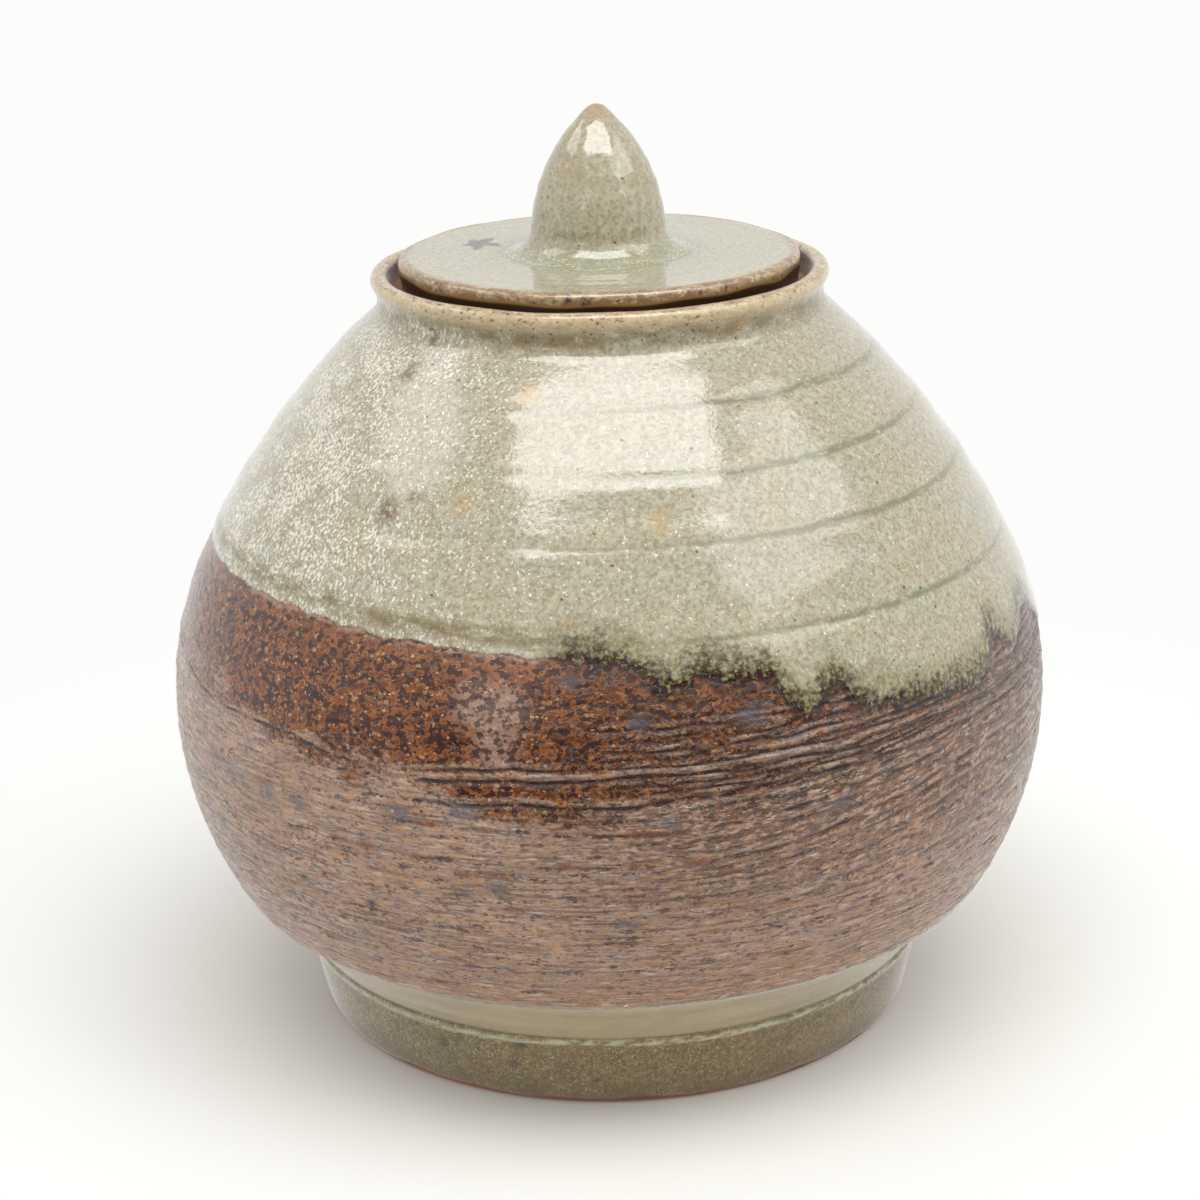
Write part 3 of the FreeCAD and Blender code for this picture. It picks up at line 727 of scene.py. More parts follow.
def potOutline():
    belly, base, rim = nodeSize("pot_wall")
    level, bandTop, wall = pot["bellyLevel"], pot["bandTop"], pot["wall"]
    lowerCurve, upperCurve, shoulderCurve = pot["lowerCurve"], pot["upperCurve"], pot["shoulderCurve"]
    bandCurve, cove = pot["bandCurve"], pot["neckCove"]
    bottom = (nodeSize("foot_ring")[0] - pot["footGroove"], base)
    lowerCentre = np.array([belly - lowerCurve, level])
    upperCentre = np.array([belly - upperCurve, level])
    bandEnd = (lowerCentre[0] + math.sqrt(lowerCurve ** 2 - (level - bandTop) ** 2), bandTop)
    bandCentre = centreBetween(bandEnd, bottom, bandCurve)

    ledge = rim - pot["galleryDepth"]
    gallery = nodeSize("lid_plate")[0] + pot["galleryGap"]
    mouth = gallery + pot["galleryFlare"]
    lip = mouth + pot["lipThickness"]
    throat = gallery - pot["ledgeWidth"]
    coveCentre = np.array([lip - pot["lipOverhang"] + cove, pot["neckLevel"]])
    shoulderCentre = crossing(upperCentre, shoulderCurve - upperCurve, coveCentre, shoulderCurve + cove)
    leavesBelly = towards(shoulderCentre, upperCentre, shoulderCurve)
    entersNeck = towards(shoulderCentre, coveCentre, shoulderCurve)
    lipFoot = np.array([lip, rim - pot["lipBand"]])
    away = lipFoot - coveCentre
    lean = math.atan2(away[1], away[0]) + math.acos(cove / np.linalg.norm(away))
    leavesNeck = coveCentre + cove * np.array([math.cos(lean), math.sin(lean)])
    narrowest = coveCentre - (cove, 0)

    inner = shoulderCurve - wall
    throatFoot = (throat, shoulderCentre[1] + math.sqrt(inner ** 2 - (throat - shoulderCentre[0]) ** 2))
    floorLevel, fillet = base + pot["floorThickness"], pot["floorFillet"]
    filletRise = floorLevel + fillet - bandCentre[1]
    filletReach = math.sqrt((bandCurve + wall + fillet) ** 2 - filletRise ** 2)
    filletCentre = np.array([bandCentre[0] - filletReach, floorLevel + fillet])
    leavesFloor = towards(bandCentre, filletCentre, bandCurve + wall)
    leavesBand = crossing(lowerCentre, lowerCurve - wall, bandCentre, bandCurve + wall)
    innerBelly = (belly - wall, level)
    innerShoulder = towards(shoulderCentre, upperCentre, inner)
    lipTop, mouthTop, galleryFoot = (lip, rim), (mouth, rim), (gallery, ledge)
    return joinStretches([
        ("underside", [(0, base), bottom], 3),
        ("band", arcPoints(bandCentre, bottom, bandEnd), 15),
        ("comb", arcPoints(lowerCentre, bandEnd, (belly, level)), 74),
        ("upperBelly", arcPoints(upperCentre, (belly, level), leavesBelly), 90),
        ("shoulder", arcPoints(shoulderCentre, leavesBelly, entersNeck), 82),
        ("neck", np.vstack([arcPoints(coveCentre, entersNeck, narrowest),
                            arcPoints(coveCentre, narrowest, leavesNeck), [lipFoot]]), 10),
        ("lip", np.vstack([roundedCorner(lipFoot, lipTop, mouthTop, pot["lipRound"]),
                           roundedCorner(lipTop, mouthTop, galleryFoot, pot["lipRound"])]), 14),
        ("gallery", [galleryFoot], 4),
        ("ledge", roundedCorner(galleryFoot, (throat, ledge), throatFoot, pot["edgeRound"]), 5),
        ("throat", [throatFoot], 3),
        ("inside", np.vstack([arcPoints(shoulderCentre, throatFoot, innerShoulder),
                              arcPoints(upperCentre, innerShoulder, innerBelly),
                              arcPoints(lowerCentre, innerBelly, leavesBand),
                              arcPoints(bandCentre, leavesBand, leavesFloor),
                              arcPoints(filletCentre, leavesFloor, (filletCentre[0], floorLevel))]), 22),
        ("floor", [(0, floorLevel)], 4),
    ])


def strokeLevel(angle, height):
    # The level at which the comb's line through a point lies on the left. The height is the level
    # plus the climb there, solved by repeating level = height - climb(level).
    share = within(fromFront(angle, 0), pot["climbs"], pot["returns"])
    level = height + 0 * angle
    for _ in range(12):
        level = height - pot["strokeRise"] * share * hump(level, pot["strokeRiseAt"], pot["strokeSpread"])
    return level


def combLines(angle, level):
    # Grooves one under another, each a bell across its own wandering line, and the crest of clay
    # that the comb pushes up above each of them
    rng = np.random.default_rng(pot["combSeed"])
    trough = crest = 0 * level
    at = pot["combTop"]
    while at > pot["combBottom"]:
        path = at + (wander(angle, rng.integers(1e6), pot["combWander"])
                     + wander(angle, rng.integers(1e6), pot["combShake"]))
        pressure = np.clip(0.6 + wander(angle, rng.integers(1e6), pot["combPress"]), 0, 1.2)
        width = rng.uniform(*pot["combWidth"])
        press = rng.uniform(*pot["combForce"]) * pressure
        trough = np.maximum(trough, press * hump(level, path, width))
        crest = np.maximum(crest, press * hump(level, path + 1.5 * width, width))
        at -= pot["combPitch"] * rng.uniform(*pot["combUneven"])
    return trough, crest


def deepStrokes(angle, height):
    # each stroke follows its own points and fades out over a few degrees at its ends
    degrees = fromFront(angle, -75)
    trough = crest = 0 * (height + angle)
    for number, (points, width, strength) in enumerate(pot["strokes"]):
        turns, levels = zip(*points)
        path = np.interp(degrees, turns, levels) + wander(angle, 90 + number, pot["strokeShake"])
        fades = within(degrees, (turns[0] - 1, turns[0] + 3), (turns[-1] - 3, turns[-1] + 1))
        press = fades * strength * (0.85 + wander(angle, 60 + number, pot["strokePress"]))
        press = np.clip(press, 0, 1.8)
        trough = np.maximum(trough, press * hump(height, path, width))
        crest = np.maximum(crest, press * hump(height, path + 2.0 * width, 1.1 * width))
    return trough, crest


def makePotWall():
    outline = potOutline()
    angle = columnAngles(pot["columns"])
    degrees = fromFront(angle)
    height, row, starts, radius = readings(outline)
    band, neck, lip, gallery, throat = (starts[k] for k in ("band", "neck", "lip", "gallery", "throat"))
    outside = 1.0 * ((row >= band) & (row < lip))
    inside = 1.0 * (row >= throat)
    side = outside * within(row, (band + 2, band + 12), (neck, lip))

    ashEdge = height - aroundPot(angle, pot["ashEdge"]) + wander(angle, 5, pot["ashShake"])
    bandEdge = height - pot["bandEdge"] - pot["bandTilt"] * np.sin(angle)
    onAsh = ease(ashEdge, *pot["ashRises"])
    onIron = (1 - onAsh) * ease(bandEdge, *pot["ironRises"])

    rings = 0
    strongSide = 0.40 + sideHumps(angle, pot["strongRings"])
    for number, level in enumerate(pot["ringLevels"]):
        path = level + wander(angle, 40 + number, pot["ringWander"])
        path = path + wander(angle, 50 + number, pot["ringShake"])
        rings = np.maximum(rings, hump(height, path, pot["ringWidth"]))
    combLevel = strokeLevel(angle, height)
    hard = within(degrees, *pot["hardSide"]) + sideHumps(angle, pot["hardBehind"])
    combed = np.maximum(ease(combLevel, *pot["softTop"]), hard * ease(combLevel, *pot["hardTop"]))
    combed = combed * (1 + pot["combDeepens"] * hard * hump(height, *pot["deepAt"]))
    combs, strokes = combLines(angle, combLevel), deepStrokes(angle, height)
    trough, crest = (np.maximum(comb * combed, stroke) for comb, stroke in zip(combs, strokes))

    push = side * (
        pot["wobble"] * waves(angle, height, 1, 5, (1, 3), (120, 260))
        + pot["swell"] * waves(angle, height, 3, 9, (0, 2), (7, 20)) * ease(height, *pot["swellRises"])
        - pot["ringDepth"] * rings * onAsh * (0.5 + 0.5 * strongSide)
        - pot["combDepth"] * trough * onIron
        + pot["crestHeight"] * crest * onIron
        + pot["clayGrain"] * waves(angle, height, 8, 40, (30, 90), (1.2, 3.4)) * onIron
        + pot["ashThickness"] * onAsh
        + pot["bandThickness"] * ease(-bandEdge, *pot["bandRises"]))
    push = push + outside * pot["footGroove"] * pot["grooveFilled"] * ease(height, *pot["grooveFades"])
    push = push + hump(row, lip + 5, 8) * wander(angle, 9, pot["lipWander"])

    marks = {
        "ashEdge": np.where(inside > 0, pot["ashInside"], ashEdge),
        "rustEdge": height - aroundPot(angle, pot["rustEdge"]),
        "bandEdge": bandEdge,
        "climb": (height - combLevel) * outside,
        "trough": trough * outside,
        "crest": crest * outside,
        "rings": rings * strongSide * outside,
        "ragged": ease(degrees, *pot["raggedFrom"])
        + (1 - ease(fromFront(angle, 0), *pot["raggedTo"])) * (degrees < -90),
        "bloom": 0.10 + outside * sideHumps(angle, pot["bloomSides"]),
        "orange": sum(sideHumps(angle, [(turn, wide, 1)]) * hump(height, level, tall)
                      for turn, wide, level, tall in pot["orangePlaces"]),
        "dark": hard * ease(height, *pot["darkRises"]),
        "lip": within(row, (lip - 4, lip), (gallery + 1, gallery + 4)),
        "lipTop": within(row, (lip + 2, lip + 6), (gallery, gallery + 3)),
        "gallery": ease(row, gallery - 3, gallery + 1) * (row < starts["ledge"] + 2),
        "neck": ease(height, *pot["neckRises"]) * outside,
        "ledge": within(row, (gallery + 1, gallery + 3), (throat, throat + 2)),
        "inside": inside,
    }
    for name, spots in pot["spots"].items():
        marks[name] = spotMask(angle, height, radius, spots, pot["stretch"].get(name, 1)) * outside
    piece = turnedPiece("potWall", outline, pot["columns"], push, marks)
    settle(piece, "pot_wall", makePotGlaze())


def ashLayer(desk, edge, ragged, patch):
    # ash glaze on the shoulder, green where it lies thick in the rings, olive along its lower edge
    desk.colour, crystals = desk.effects(ashGlaze, Bloom=desk["bloom"], Specks=0.5, **toneSet(pot["ash"]))
    desk.coat("inside", desk["inside"] * 0.6)
    # painted shade under the lip: the neck darkens to tan, partly the glaze's own tan
    desk.coat("neckTanShade", desk["neck"] * desk.clouds(5, 3, 1, 0.28, 0.62) * 0.75)
    pooled = desk.span(desk["rings"], 0.38, 0.95) * desk.clouds(3, 1, 7, 0.25, 0.55)
    desk.coat("ringGreen", pooled * 0.8)
    desk.coat("brownSpot", desk["brownSpots"] * patch * 0.9)
    desk.coat("goldSpot", desk["goldSpots"] * patch * 0.6)

    # olive line above the smooth edge on the left, and a wide frayed fringe on the right
    grain = desk.clouds(0.9, 0.9, 19, 0.38, 0.6)
    thin = desk.near(edge, 2.8, 2.6) * desk.rest(ragged) * desk.clouds(5, 1.6, 18, 0.3, 0.6)
    desk.coat("oliveLine", thin * 0.8)
    wide = ragged * desk.span(edge, 8, 1.5)
    desk.coat("olive", wide * (0.35 + 0.6 * grain))
    reach = desk.span(desk.clouds(4, 5, 20, 0.38, 0.62), 0, 1, 1.2, 8)
    desk.coat("oliveDark", ragged * desk.span(edge, reach, 0.2) * (0.45 + 0.55 * grain))
    desk.coat("oliveSeed", desk.flecks(0.85, 0.95, 17, 0.42, 0.42, 0.9) * wide * 0.7)
    return desk.colour, crystals


def ironLayer(desk, edge, ragged, patch):
    # Iron glaze: dark cells in a rust network above, thin and mauve over the combed clay below. The
    # comb's lines climb on the right, so their pattern reads the skin moved back by the climb.
    combed = desk.vectors("SUBTRACT", desk.skin, desk.field("CombineXYZ", {2: desk["climb"]}))
    dark = desk["dark"]
    rough = 0.6 * desk.clouds(2.2, 1, 46, 0.3, 0.7) + 0.6 * desk.clouds(0.8, 0.6, 48, 0.3, 0.7) - 0.6

    desk.colour = desk.mix(desk.clouds(6, 5, 40, 0.36, 0.64), "rust", "rustRed")
    net = desk.clouds(1.7, 1.5, 41, 0.3, 0.7)
    cells = desk.most(desk.span(net, 0.54, 0.34), desk.flecks(2.3, 1.9, 42, 0.46, 0.62, 0.9) * 0.8)
    desk.coat("cell", cells * 0.85)
    ringTone = desk.mix(desk["orange"], "ring", "ringOrange")
    desk.coat(ringTone, desk.near(net, 0.66, 0.22) * desk.clouds(3, 2.4, 43, 0.34, 0.54) * 0.85)
    desk.coat("grain", desk.flecks(1.25, 1.05, 44, 0.44, 0.36, 1.2) * (0.8 - 0.4 * dark))
    desk.coat("spark", desk.flecks(0.9, 0.8, 49, 0.34, 0.16, 1) * 0.7)
    desk.coat("burnt", desk.clouds(3, 2, 45, 0.58, 0.66) * 0.7)
    desk.coat("smoke", dark * desk.clouds(4, 2.4, 66, 0.28, 0.58) * 0.7)
    # painted reflection: mauve-grey sheen patches on the rust, partly thin glaze
    desk.coat("mauveGrey", desk["thinGlazeSheenSpots"] * desk.span(net, 0.3, 0.66, 0.12, 0.62))
    upper = desk.colour

    drift = desk.clouds(16, 9, 51, 0.35, 0.65)
    desk.colour = desk.mix(drift, "mauve", "mauveGrey")
    desk.coat("mauveWarm", desk.span(desk["bandEdge"], 14, 0) * 0.85)
    desk.coat("brown", desk.clouds(0.9, 0.65, 50, 0.5, 0.64) * 0.5)
    tanLines = desk.clouds(4.2, 0.85, 53, 0.47, 0.6, combed)
    desk.coat("tan", tanLines * 0.75)
    desk.coat("mauveWarm", desk.clouds(12, 3, 52, 0.4, 0.62, combed) * 0.4)
    longLines = desk.clouds(9, 0.62, 55, 0.54, 0.62, combed)
    darkLines = desk.most(longLines * 0.9, desk.clouds(2.3, 0.7, 54, 0.55, 0.64, combed))
    # painted highlights: pale glints along the combed lines
    glints = desk.clouds(4.4, 0.75, 38, 0.56, 0.64, combed)
    desk.coat("glint", glints * 0.6)
    desk.coat("line", darkLines * (0.4 + 0.4 * dark + 0.25 * desk.clouds(22, 12, 56, 0.4, 0.6)))
    desk.coat("brown", dark * desk.clouds(2.2, 0.9, 60, 0.4, 0.54, combed) * 0.85)
    desk.coat("dash", desk["rustDashes"] * patch)

    uneven = desk["rustEdge"] + 6.0 * (drift - 0.5) + 5.0 * rough
    desk.coat(upper, desk.span(uneven, -3, 3))
    high = desk.span(uneven, -16, -2)
    broken = 0.35 + 0.65 * desk.clouds(3.4, 1.3, 67, 0.34, 0.56, combed)
    # darker in the comb's grooves and paler on its crests: partly the glaze's own colour and partly painted
    # shade and highlight of the relief
    crest = desk.span(desk["crest"] + 1.5 * rough, 0.34, 0.8)
    desk.coat(desk.mix(high, "tan", "crest"), crest * broken * (0.55 + 0.35 * tanLines))
    trough = desk.span(desk["trough"] + 1.4 * rough, 0.3, 0.85)
    desk.coat(desk.mix(high, "line", "trough"), trough * broken * 0.9)
    flash = dark * desk.span(uneven, -16, -4) * desk.flecks(1.5, 1, 39, 0.44, 0.42, 1.3)
    desk.coat("ring", flash * 0.75)
    desk.coat("blueGrey", desk["blueSpots"] * patch * 0.75)
    desk.coat("darkSpot", desk.most(desk.flecks(2.2, 1.6, 57, 0.15, 0.5, 0.5) * 0.8, desk["darkSpots"]))
    desk.coat("quartz", desk.flecks(7, 7, 58, 0.06, 0.35, 0.3) * 0.9)

    # where the smooth edge of the ash lies on it: a dark line far left, a pale one nearer the front
    parts = desk.rest(ragged) * desk.clouds(2.4, 1.2, 47, 0.4, 0.58)
    desk.coat("edgeTan", desk.near(edge, -1.8, 1.4) * parts * 0.5)
    line = desk.mix(desk.clouds(24, 24, 59, 0.46, 0.56), "edgeDark", "edgePale")
    desk.coat(line, desk.near(edge, -0.5, 0.8) * parts * 0.6)
    desk.coat("burnt", desk.near(edge, -0.6, 1.8) * ragged * 0.85)
    lines = 0.8 * tanLines - 0.9 * darkLines + 0.4 * glints
    return desk.colour, lines * desk.span(uneven, 2, -3) - 0.2 * cells


def bandLayer(desk, bandAt):
    # smooth olive band over the foot: a pale roll and a dark line along its top
    desk.colour = desk.mix(desk.clouds(12, 4, 61, 0.35, 0.65), "band", "bandShade")
    desk.coat("bandShade", desk.clouds(1, 0.8, 62, 0.45, 0.65) * 0.35)
    desk.coat("bandPale", desk.span(bandAt, -3.6, -1.2) * 0.6)
    desk.coat("bandShade", desk.span(bandAt, -8, -13.5) * 0.6)
    desk.coat("bandShade", desk["bloom"] * 0.6)
    desk.coat("bandLine", desk.span(bandAt, -1.5, -0.4) * desk.clouds(2.6, 1, 63, 0.35, 0.55) * 0.9)
    topDots = desk.span(bandAt, -3, -0.3) * desk.flecks(1, 0.8, 69, 0.34, 0.45, 1)
    desk.coat("bandLine", topDots * 0.7)
    desk.coat("brownSpot", desk.flecks(4.6, 3.4, 64, 0.13, 0.5, 0.6) * 0.75)
    return desk.colour


def makePotGlaze():
    desk = newGlaze("potGlaze", pot["tones"])
    ragged, onLip, onLedge = desk["ragged"], desk["lip"], desk["ledge"]
    patch = desk.clouds(1.4, 1.4, 21, 0.25, 0.55)
    fray = desk.clouds(1.3, 2, 31, 0.25, 0.75) - 0.5
    edge = desk["ashEdge"] + fray * desk.span(ragged, 0, 1, 0.5, 3)
    bandAt = desk["bandEdge"] + 1.1 * fray
    onAsh, onBand = desk.span(edge, -0.25, 0.25), desk.span(bandAt, 0.25, -0.1)

    ash, crystals = ashLayer(desk, edge, ragged, patch)
    iron, ironRelief = ironLayer(desk, edge, ragged, patch)
    band = bandLayer(desk, bandAt)
    desk.colour = desk.mix(onAsh, iron, ash)
    desk.coat(band, onBand)
    wear = desk.span(desk["lipTop"], 0, 1, 0.3, 0.85)
    rim = desk.effects(wornRim, Cream="lipCream", Tan="lipTan", Wear=wear)[0]
    desk.coat(rim, onLip * desk.clouds(2.5, 1.6, 75, 0.1, 0.4))
    rimSpecks = desk.most(onLip, desk["neck"]) * desk.flecks(1.2, 0.9, 68, 0.34, 0.45, 1.1)
    desk.coat("rimSpeck", rimSpecks * 0.8)
    # brown glaze on the gallery, darkened with painted shade of the gap under the lid
    desk.coat("galleryBrownShade", desk["gallery"] * 0.8)
    clay, grain = desk.effects(bareClay)
    desk.coat(clay, onLedge)

    onIron = desk.rest(onAsh) * desk.rest(onBand)
    rough = desk.most(desk.span(onIron, 0, 1, 0.1, 0.26), onBand * 0.2, onLip * 0.22, onLedge * 0.8)
    peel = desk.noise(desk.vectors("MULTIPLY", desk.skin, (0.9, 0.9, 0.9)), 2)
    height = peel * 0.3 + crystals * 0.2 * onAsh + ironRelief * onIron * 1.6 + grain * onLedge * 0.5
    return firedShader(desk, rough, height, **pot["fired"])


makePotWall()


foot = {
    "columns": 340, "fired": {"depth": 0.0001, "ior": 1.6},
    # section of the ring, in millimetres
    "heel": 53.4, "toe": 61.9, "bore": 51.4, "edgeRound": 2.0, "ridgeRound": 0.6,
    "glaze": 0.22, "glazeRises": (0.9, 1.9), "wobble": 0.14, "rollHeight": 0.20, "rollWidth": 0.75,
    "lowShake": (0.35, 9, 2, 26), "rollWander": (0.25, 6, 2, 14), "rollPress": (0.3, 10, 8, 70),
    "leftSide": [(-60, 52, 1), (170, 45, 1)],       # (degrees, width, strength)
    # spots: (degrees, height, size)
    "spots": [(-32.8, 10.4, 1.7), (-28.5, 13.8, 1.3), (-17.1, 13.9, 1.4), (-18.8, 8.7, 1.4), (-38, 13.3, 0.9),
              (-4, 6.1, 0.8), (-52, 10.8, 1.0), (47, 11.8, 1.1), (95, 8, 1.5), (141, 12, 1.3), (206, 9, 1.6),
              (262, 12, 1.3)],
    "ash": {"Warm": (130, 108, 68), "Grey": (116, 100, 64), "Shade": (82, 66, 40), "Pale": (148, 130, 90),
            "Gold": (166, 156, 98), "Crystal": (190, 188, 146), "Speck": (60, 44, 30)},
    "tones": {"roll": (202, 200, 172), "olive": (100, 80, 42), "spot": (54, 40, 28),
              "toeLight": (150, 84, 40), "toeDark": (82, 46, 26)},
}


def makeFootRing():
    wide, _, top = nodeSize("foot_ring")
    heel, toe, bore, ridge = (foot["heel"], 0), (foot["toe"], 0), (foot["bore"], top), (wide, top)
    toeArc = roundedCorner(heel, toe, ridge, foot["edgeRound"])
    ridgeArc = roundedCorner(toe, ridge, bore, foot["ridgeRound"])
    heelArc = roundedCorner(bore, heel, toe, foot["edgeRound"])
    outline = joinStretches([
        ("bearing", [heelArc[-1], toeArc[0]], 6),
        ("toe", toeArc, 6),
        ("side", [ridgeArc[0]], 30),
        ("ridge", ridgeArc, 8),
        ("top", [bore], 8),
        ("bore", [heelArc[0]], 10),
        ("heel", heelArc, 5),
    ], closed=True)
    angle = columnAngles(foot["columns"])
    height, row, starts, radius = readings(outline)
    side = 1.0 * ((row >= starts["toe"]) & (row < starts["top"] + 2))
    lowEdge = height - wander(angle, 21, foot["lowShake"])
    glazed = side * ease(lowEdge, *foot["glazeRises"])
    roll = side * hump(height, top - 1.0 + wander(angle, 22, foot["rollWander"]), foot["rollWidth"])
    push = glazed * (foot["glaze"] + foot["wobble"] * waves(angle, height, 23, 8, (1, 12), (14, 60)))
    push = push + foot["rollHeight"] * roll * (0.7 + wander(angle, 24, foot["rollPress"]))
    marks = {
        "glazed": glazed,
        "roll": roll,
        "lowSide": side * (1 - ease(lowEdge, 2.0, 8.0)),
        "spots": spotMask(angle, height, radius, foot["spots"]) * side,
        "leftSide": sideHumps(angle, foot["leftSide"]),
    }
    piece = turnedPiece("footRing", outline, foot["columns"], push, marks)
    settle(piece, "foot_ring", makeFootGlaze())


def makeFootGlaze():
    # olive-grey glaze full of fine crystals, a pale painted highlight along the roll on the ridge, bare clay
    # under the toe
    desk = newGlaze("footGlaze", foot["tones"])
    left = desk["leftSide"]
    fine = desk.vectors("MULTIPLY", desk.skin, (1.25, 1.25, 1.6))
    desk.colour, crystals = desk.effects(ashGlaze, Vector=fine, Bloom=0.3 + 0.35 * left, Specks=0.75,
                                         **toneSet(foot["ash"]))
    desk.coat("olive", desk["lowSide"] * desk.clouds(5, 3, 81, 0.2, 0.7) * 0.75)
    desk.coat("spot", desk["spots"] * desk.clouds(1.3, 1.3, 82, 0.25, 0.55) * 0.9)
    # painted highlight: a pale line along the roll, broken, and more whole on the left
    broken = desk.most(desk.clouds(2.6, 0.9, 83, 0.34, 0.62), left * 0.5)
    desk.coat("roll", desk.span(desk["roll"], 0.05, 0.95) * broken * 0.7)
    clay, grain = desk.effects(bareClay, Light="toeLight", Dark="toeDark")
    onGlaze = desk.span(desk["glazed"], 0.35, 0.6)
    desk.colour = desk.mix(onGlaze, clay, desk.colour)
    height = crystals * onGlaze * 0.5 + grain * desk.rest(onGlaze) * 0.8
    return firedShader(desk, desk.span(onGlaze, 0, 1, 0.75, 0.2), height, **foot["fired"])


makeFootRing()


lid = {
    "columns": 320, "fired": {"depth": 0.00006, "ior": 1.6},
    # section of the plate, in millimetres
    "seat": 39.5, "recess": 31.6, "recessDepth": 1.5, "edgeRound": 1.4, "lowRound": 0.6,
    "dish": 0.10, "ringDepth": 0.014, "ringPitch": 4.6, "edgeWobble": 0.16,
    "dishAt": (29, 7), "ringsRise": (18, 24), "lowShake": (0.35, 6, 2, 16),
    "wornRises": (5.0, 6.2), "burntFades": (3.8, 5.6),      # above the seat
    "knobFoot": 18.84, "greenWidth": 2.6,
    # iron star: place across and back from the middle, half width, length of its arms, turn in degrees
    "starAt": (-24.5, 9.7), "starCore": 2.1, "starArm": 3.0, "starTurn": 52, "starNarrow": 0.66,
    "goldAt": (27.9, 1.0), "goldSize": 3.0,
    "spots": [(-8.6, 156.6, 1.1), (-4.5, 156.4, 1.4), (36, 156.8, 0.9), (120, 156.2, 1.3), (214, 156.4, 1.2)],
    "ash": {"Warm": (176, 170, 146), "Grey": (170, 169, 147), "Shade": (160, 152, 124),
            "Pale": (184, 180, 158), "Gold": (184, 176, 138), "Crystal": (200, 196, 174),
            "Speck": (104, 92, 72)},
    "tones": {"green": (136, 142, 112), "greenPale": (206, 212, 186), "star": (60, 48, 42),
              "gold": (168, 158, 84), "ochre": (150, 116, 66), "brown": (56, 36, 22), "spot": (60, 38, 28),
              "cream": (186, 166, 128), "tan": (132, 96, 64)},
}


def makeLidPlate():
    width, base, top = nodeSize("lid_plate")
    seat, recess = (lid["seat"], base), (lid["recess"], base)
    roof, edge = (lid["recess"], base + lid["recessDepth"]), (width, top)
    lowArc = roundedCorner(recess, seat, edge, lid["lowRound"])
    edgeArc = roundedCorner(seat, edge, (0, top), lid["edgeRound"])
    outline = joinStretches([
        ("underside", [(0, roof[1]), roof], 8),
        ("step", [recess], 2),
        ("seat", [lowArc[0]], 6),
        ("side", np.vstack([lowArc, edgeArc[:1]]), 12),
        ("edge", edgeArc, 8),
        ("top", [(0, top)], 66),
    ])
    angle = columnAngles(lid["columns"])
    height, row, starts, radius = readings(outline)
    seatRow, sideRow, topRow = starts["seat"], starts["side"], starts["top"]
    onTop = ease(row, starts["edge"], topRow)
    onSide = within(row, (seatRow + 4, sideRow + 1), (topRow, topRow + 3))
    push = lid["edgeWobble"] * onSide * waves(angle, height, 31, 9, (1, 16), (6, 30))
    push = push - onTop * lid["dish"] * hump(radius, *lid["dishAt"])
    rings = np.cos(fullTurn * radius / lid["ringPitch"]) * ease(radius, *lid["ringsRise"])
    push = push + onTop * lid["ringDepth"] * rings
    across, back = radius * np.sin(angle), -radius * np.cos(angle)

    # the star: its radius is the core plus uneven arms, which go as the square of cos 2.5t
    aside, behind = across - lid["starAt"][0], back - lid["starAt"][1]
    turn = np.arctan2(behind * lid["starNarrow"], aside) - math.radians(lid["starTurn"])
    reach = lid["starCore"] + lid["starArm"] * np.cos(2.5 * turn) ** 2 * (0.75 + 0.4 * np.cos(turn + 1.2))
    star = 1 - ease(np.hypot(aside, behind * lid["starNarrow"]) / reach, 0.40, 1.15)
    goldAway = np.hypot(across - lid["goldAt"][0], back - lid["goldAt"][1])
    lowEdge = height + wander(angle, 32, lid["lowShake"]) - base
    marks = {
        "plateTop": onTop,
        "plateEdge": onSide * ease(height - base, *lid["wornRises"]),
        "plateLow": 1 - ease(lowEdge, *lid["burntFades"]),
        "bareSeat": within(row, (starts["step"], seatRow), (sideRow, sideRow + 2)),
        "green": onTop * hump(radius, lid["knobFoot"], lid["greenWidth"]),
        "star": onTop * star,
        "goldSpot": onTop * (1 - ease(goldAway, 0.4, lid["goldSize"])),
        "spots": spotMask(angle, height, radius, lid["spots"]) * onSide,
    }
    piece = turnedPiece("lidPlate", outline, lid["columns"], push, marks)
    settle(piece, "lid_plate", makeLidGlaze())


def greenRing(desk):
    # thick glaze round the foot of the knob: green with pale broken crystals
    desk.coat("green", desk["green"] * desk.clouds(2, 1.6, 91, 0.3, 0.6) * 0.7)
    desk.coat("greenPale", desk["green"] * desk.flecks(0.9, 0.7, 92, 0.42, 0.55, 0.9) * 0.85)


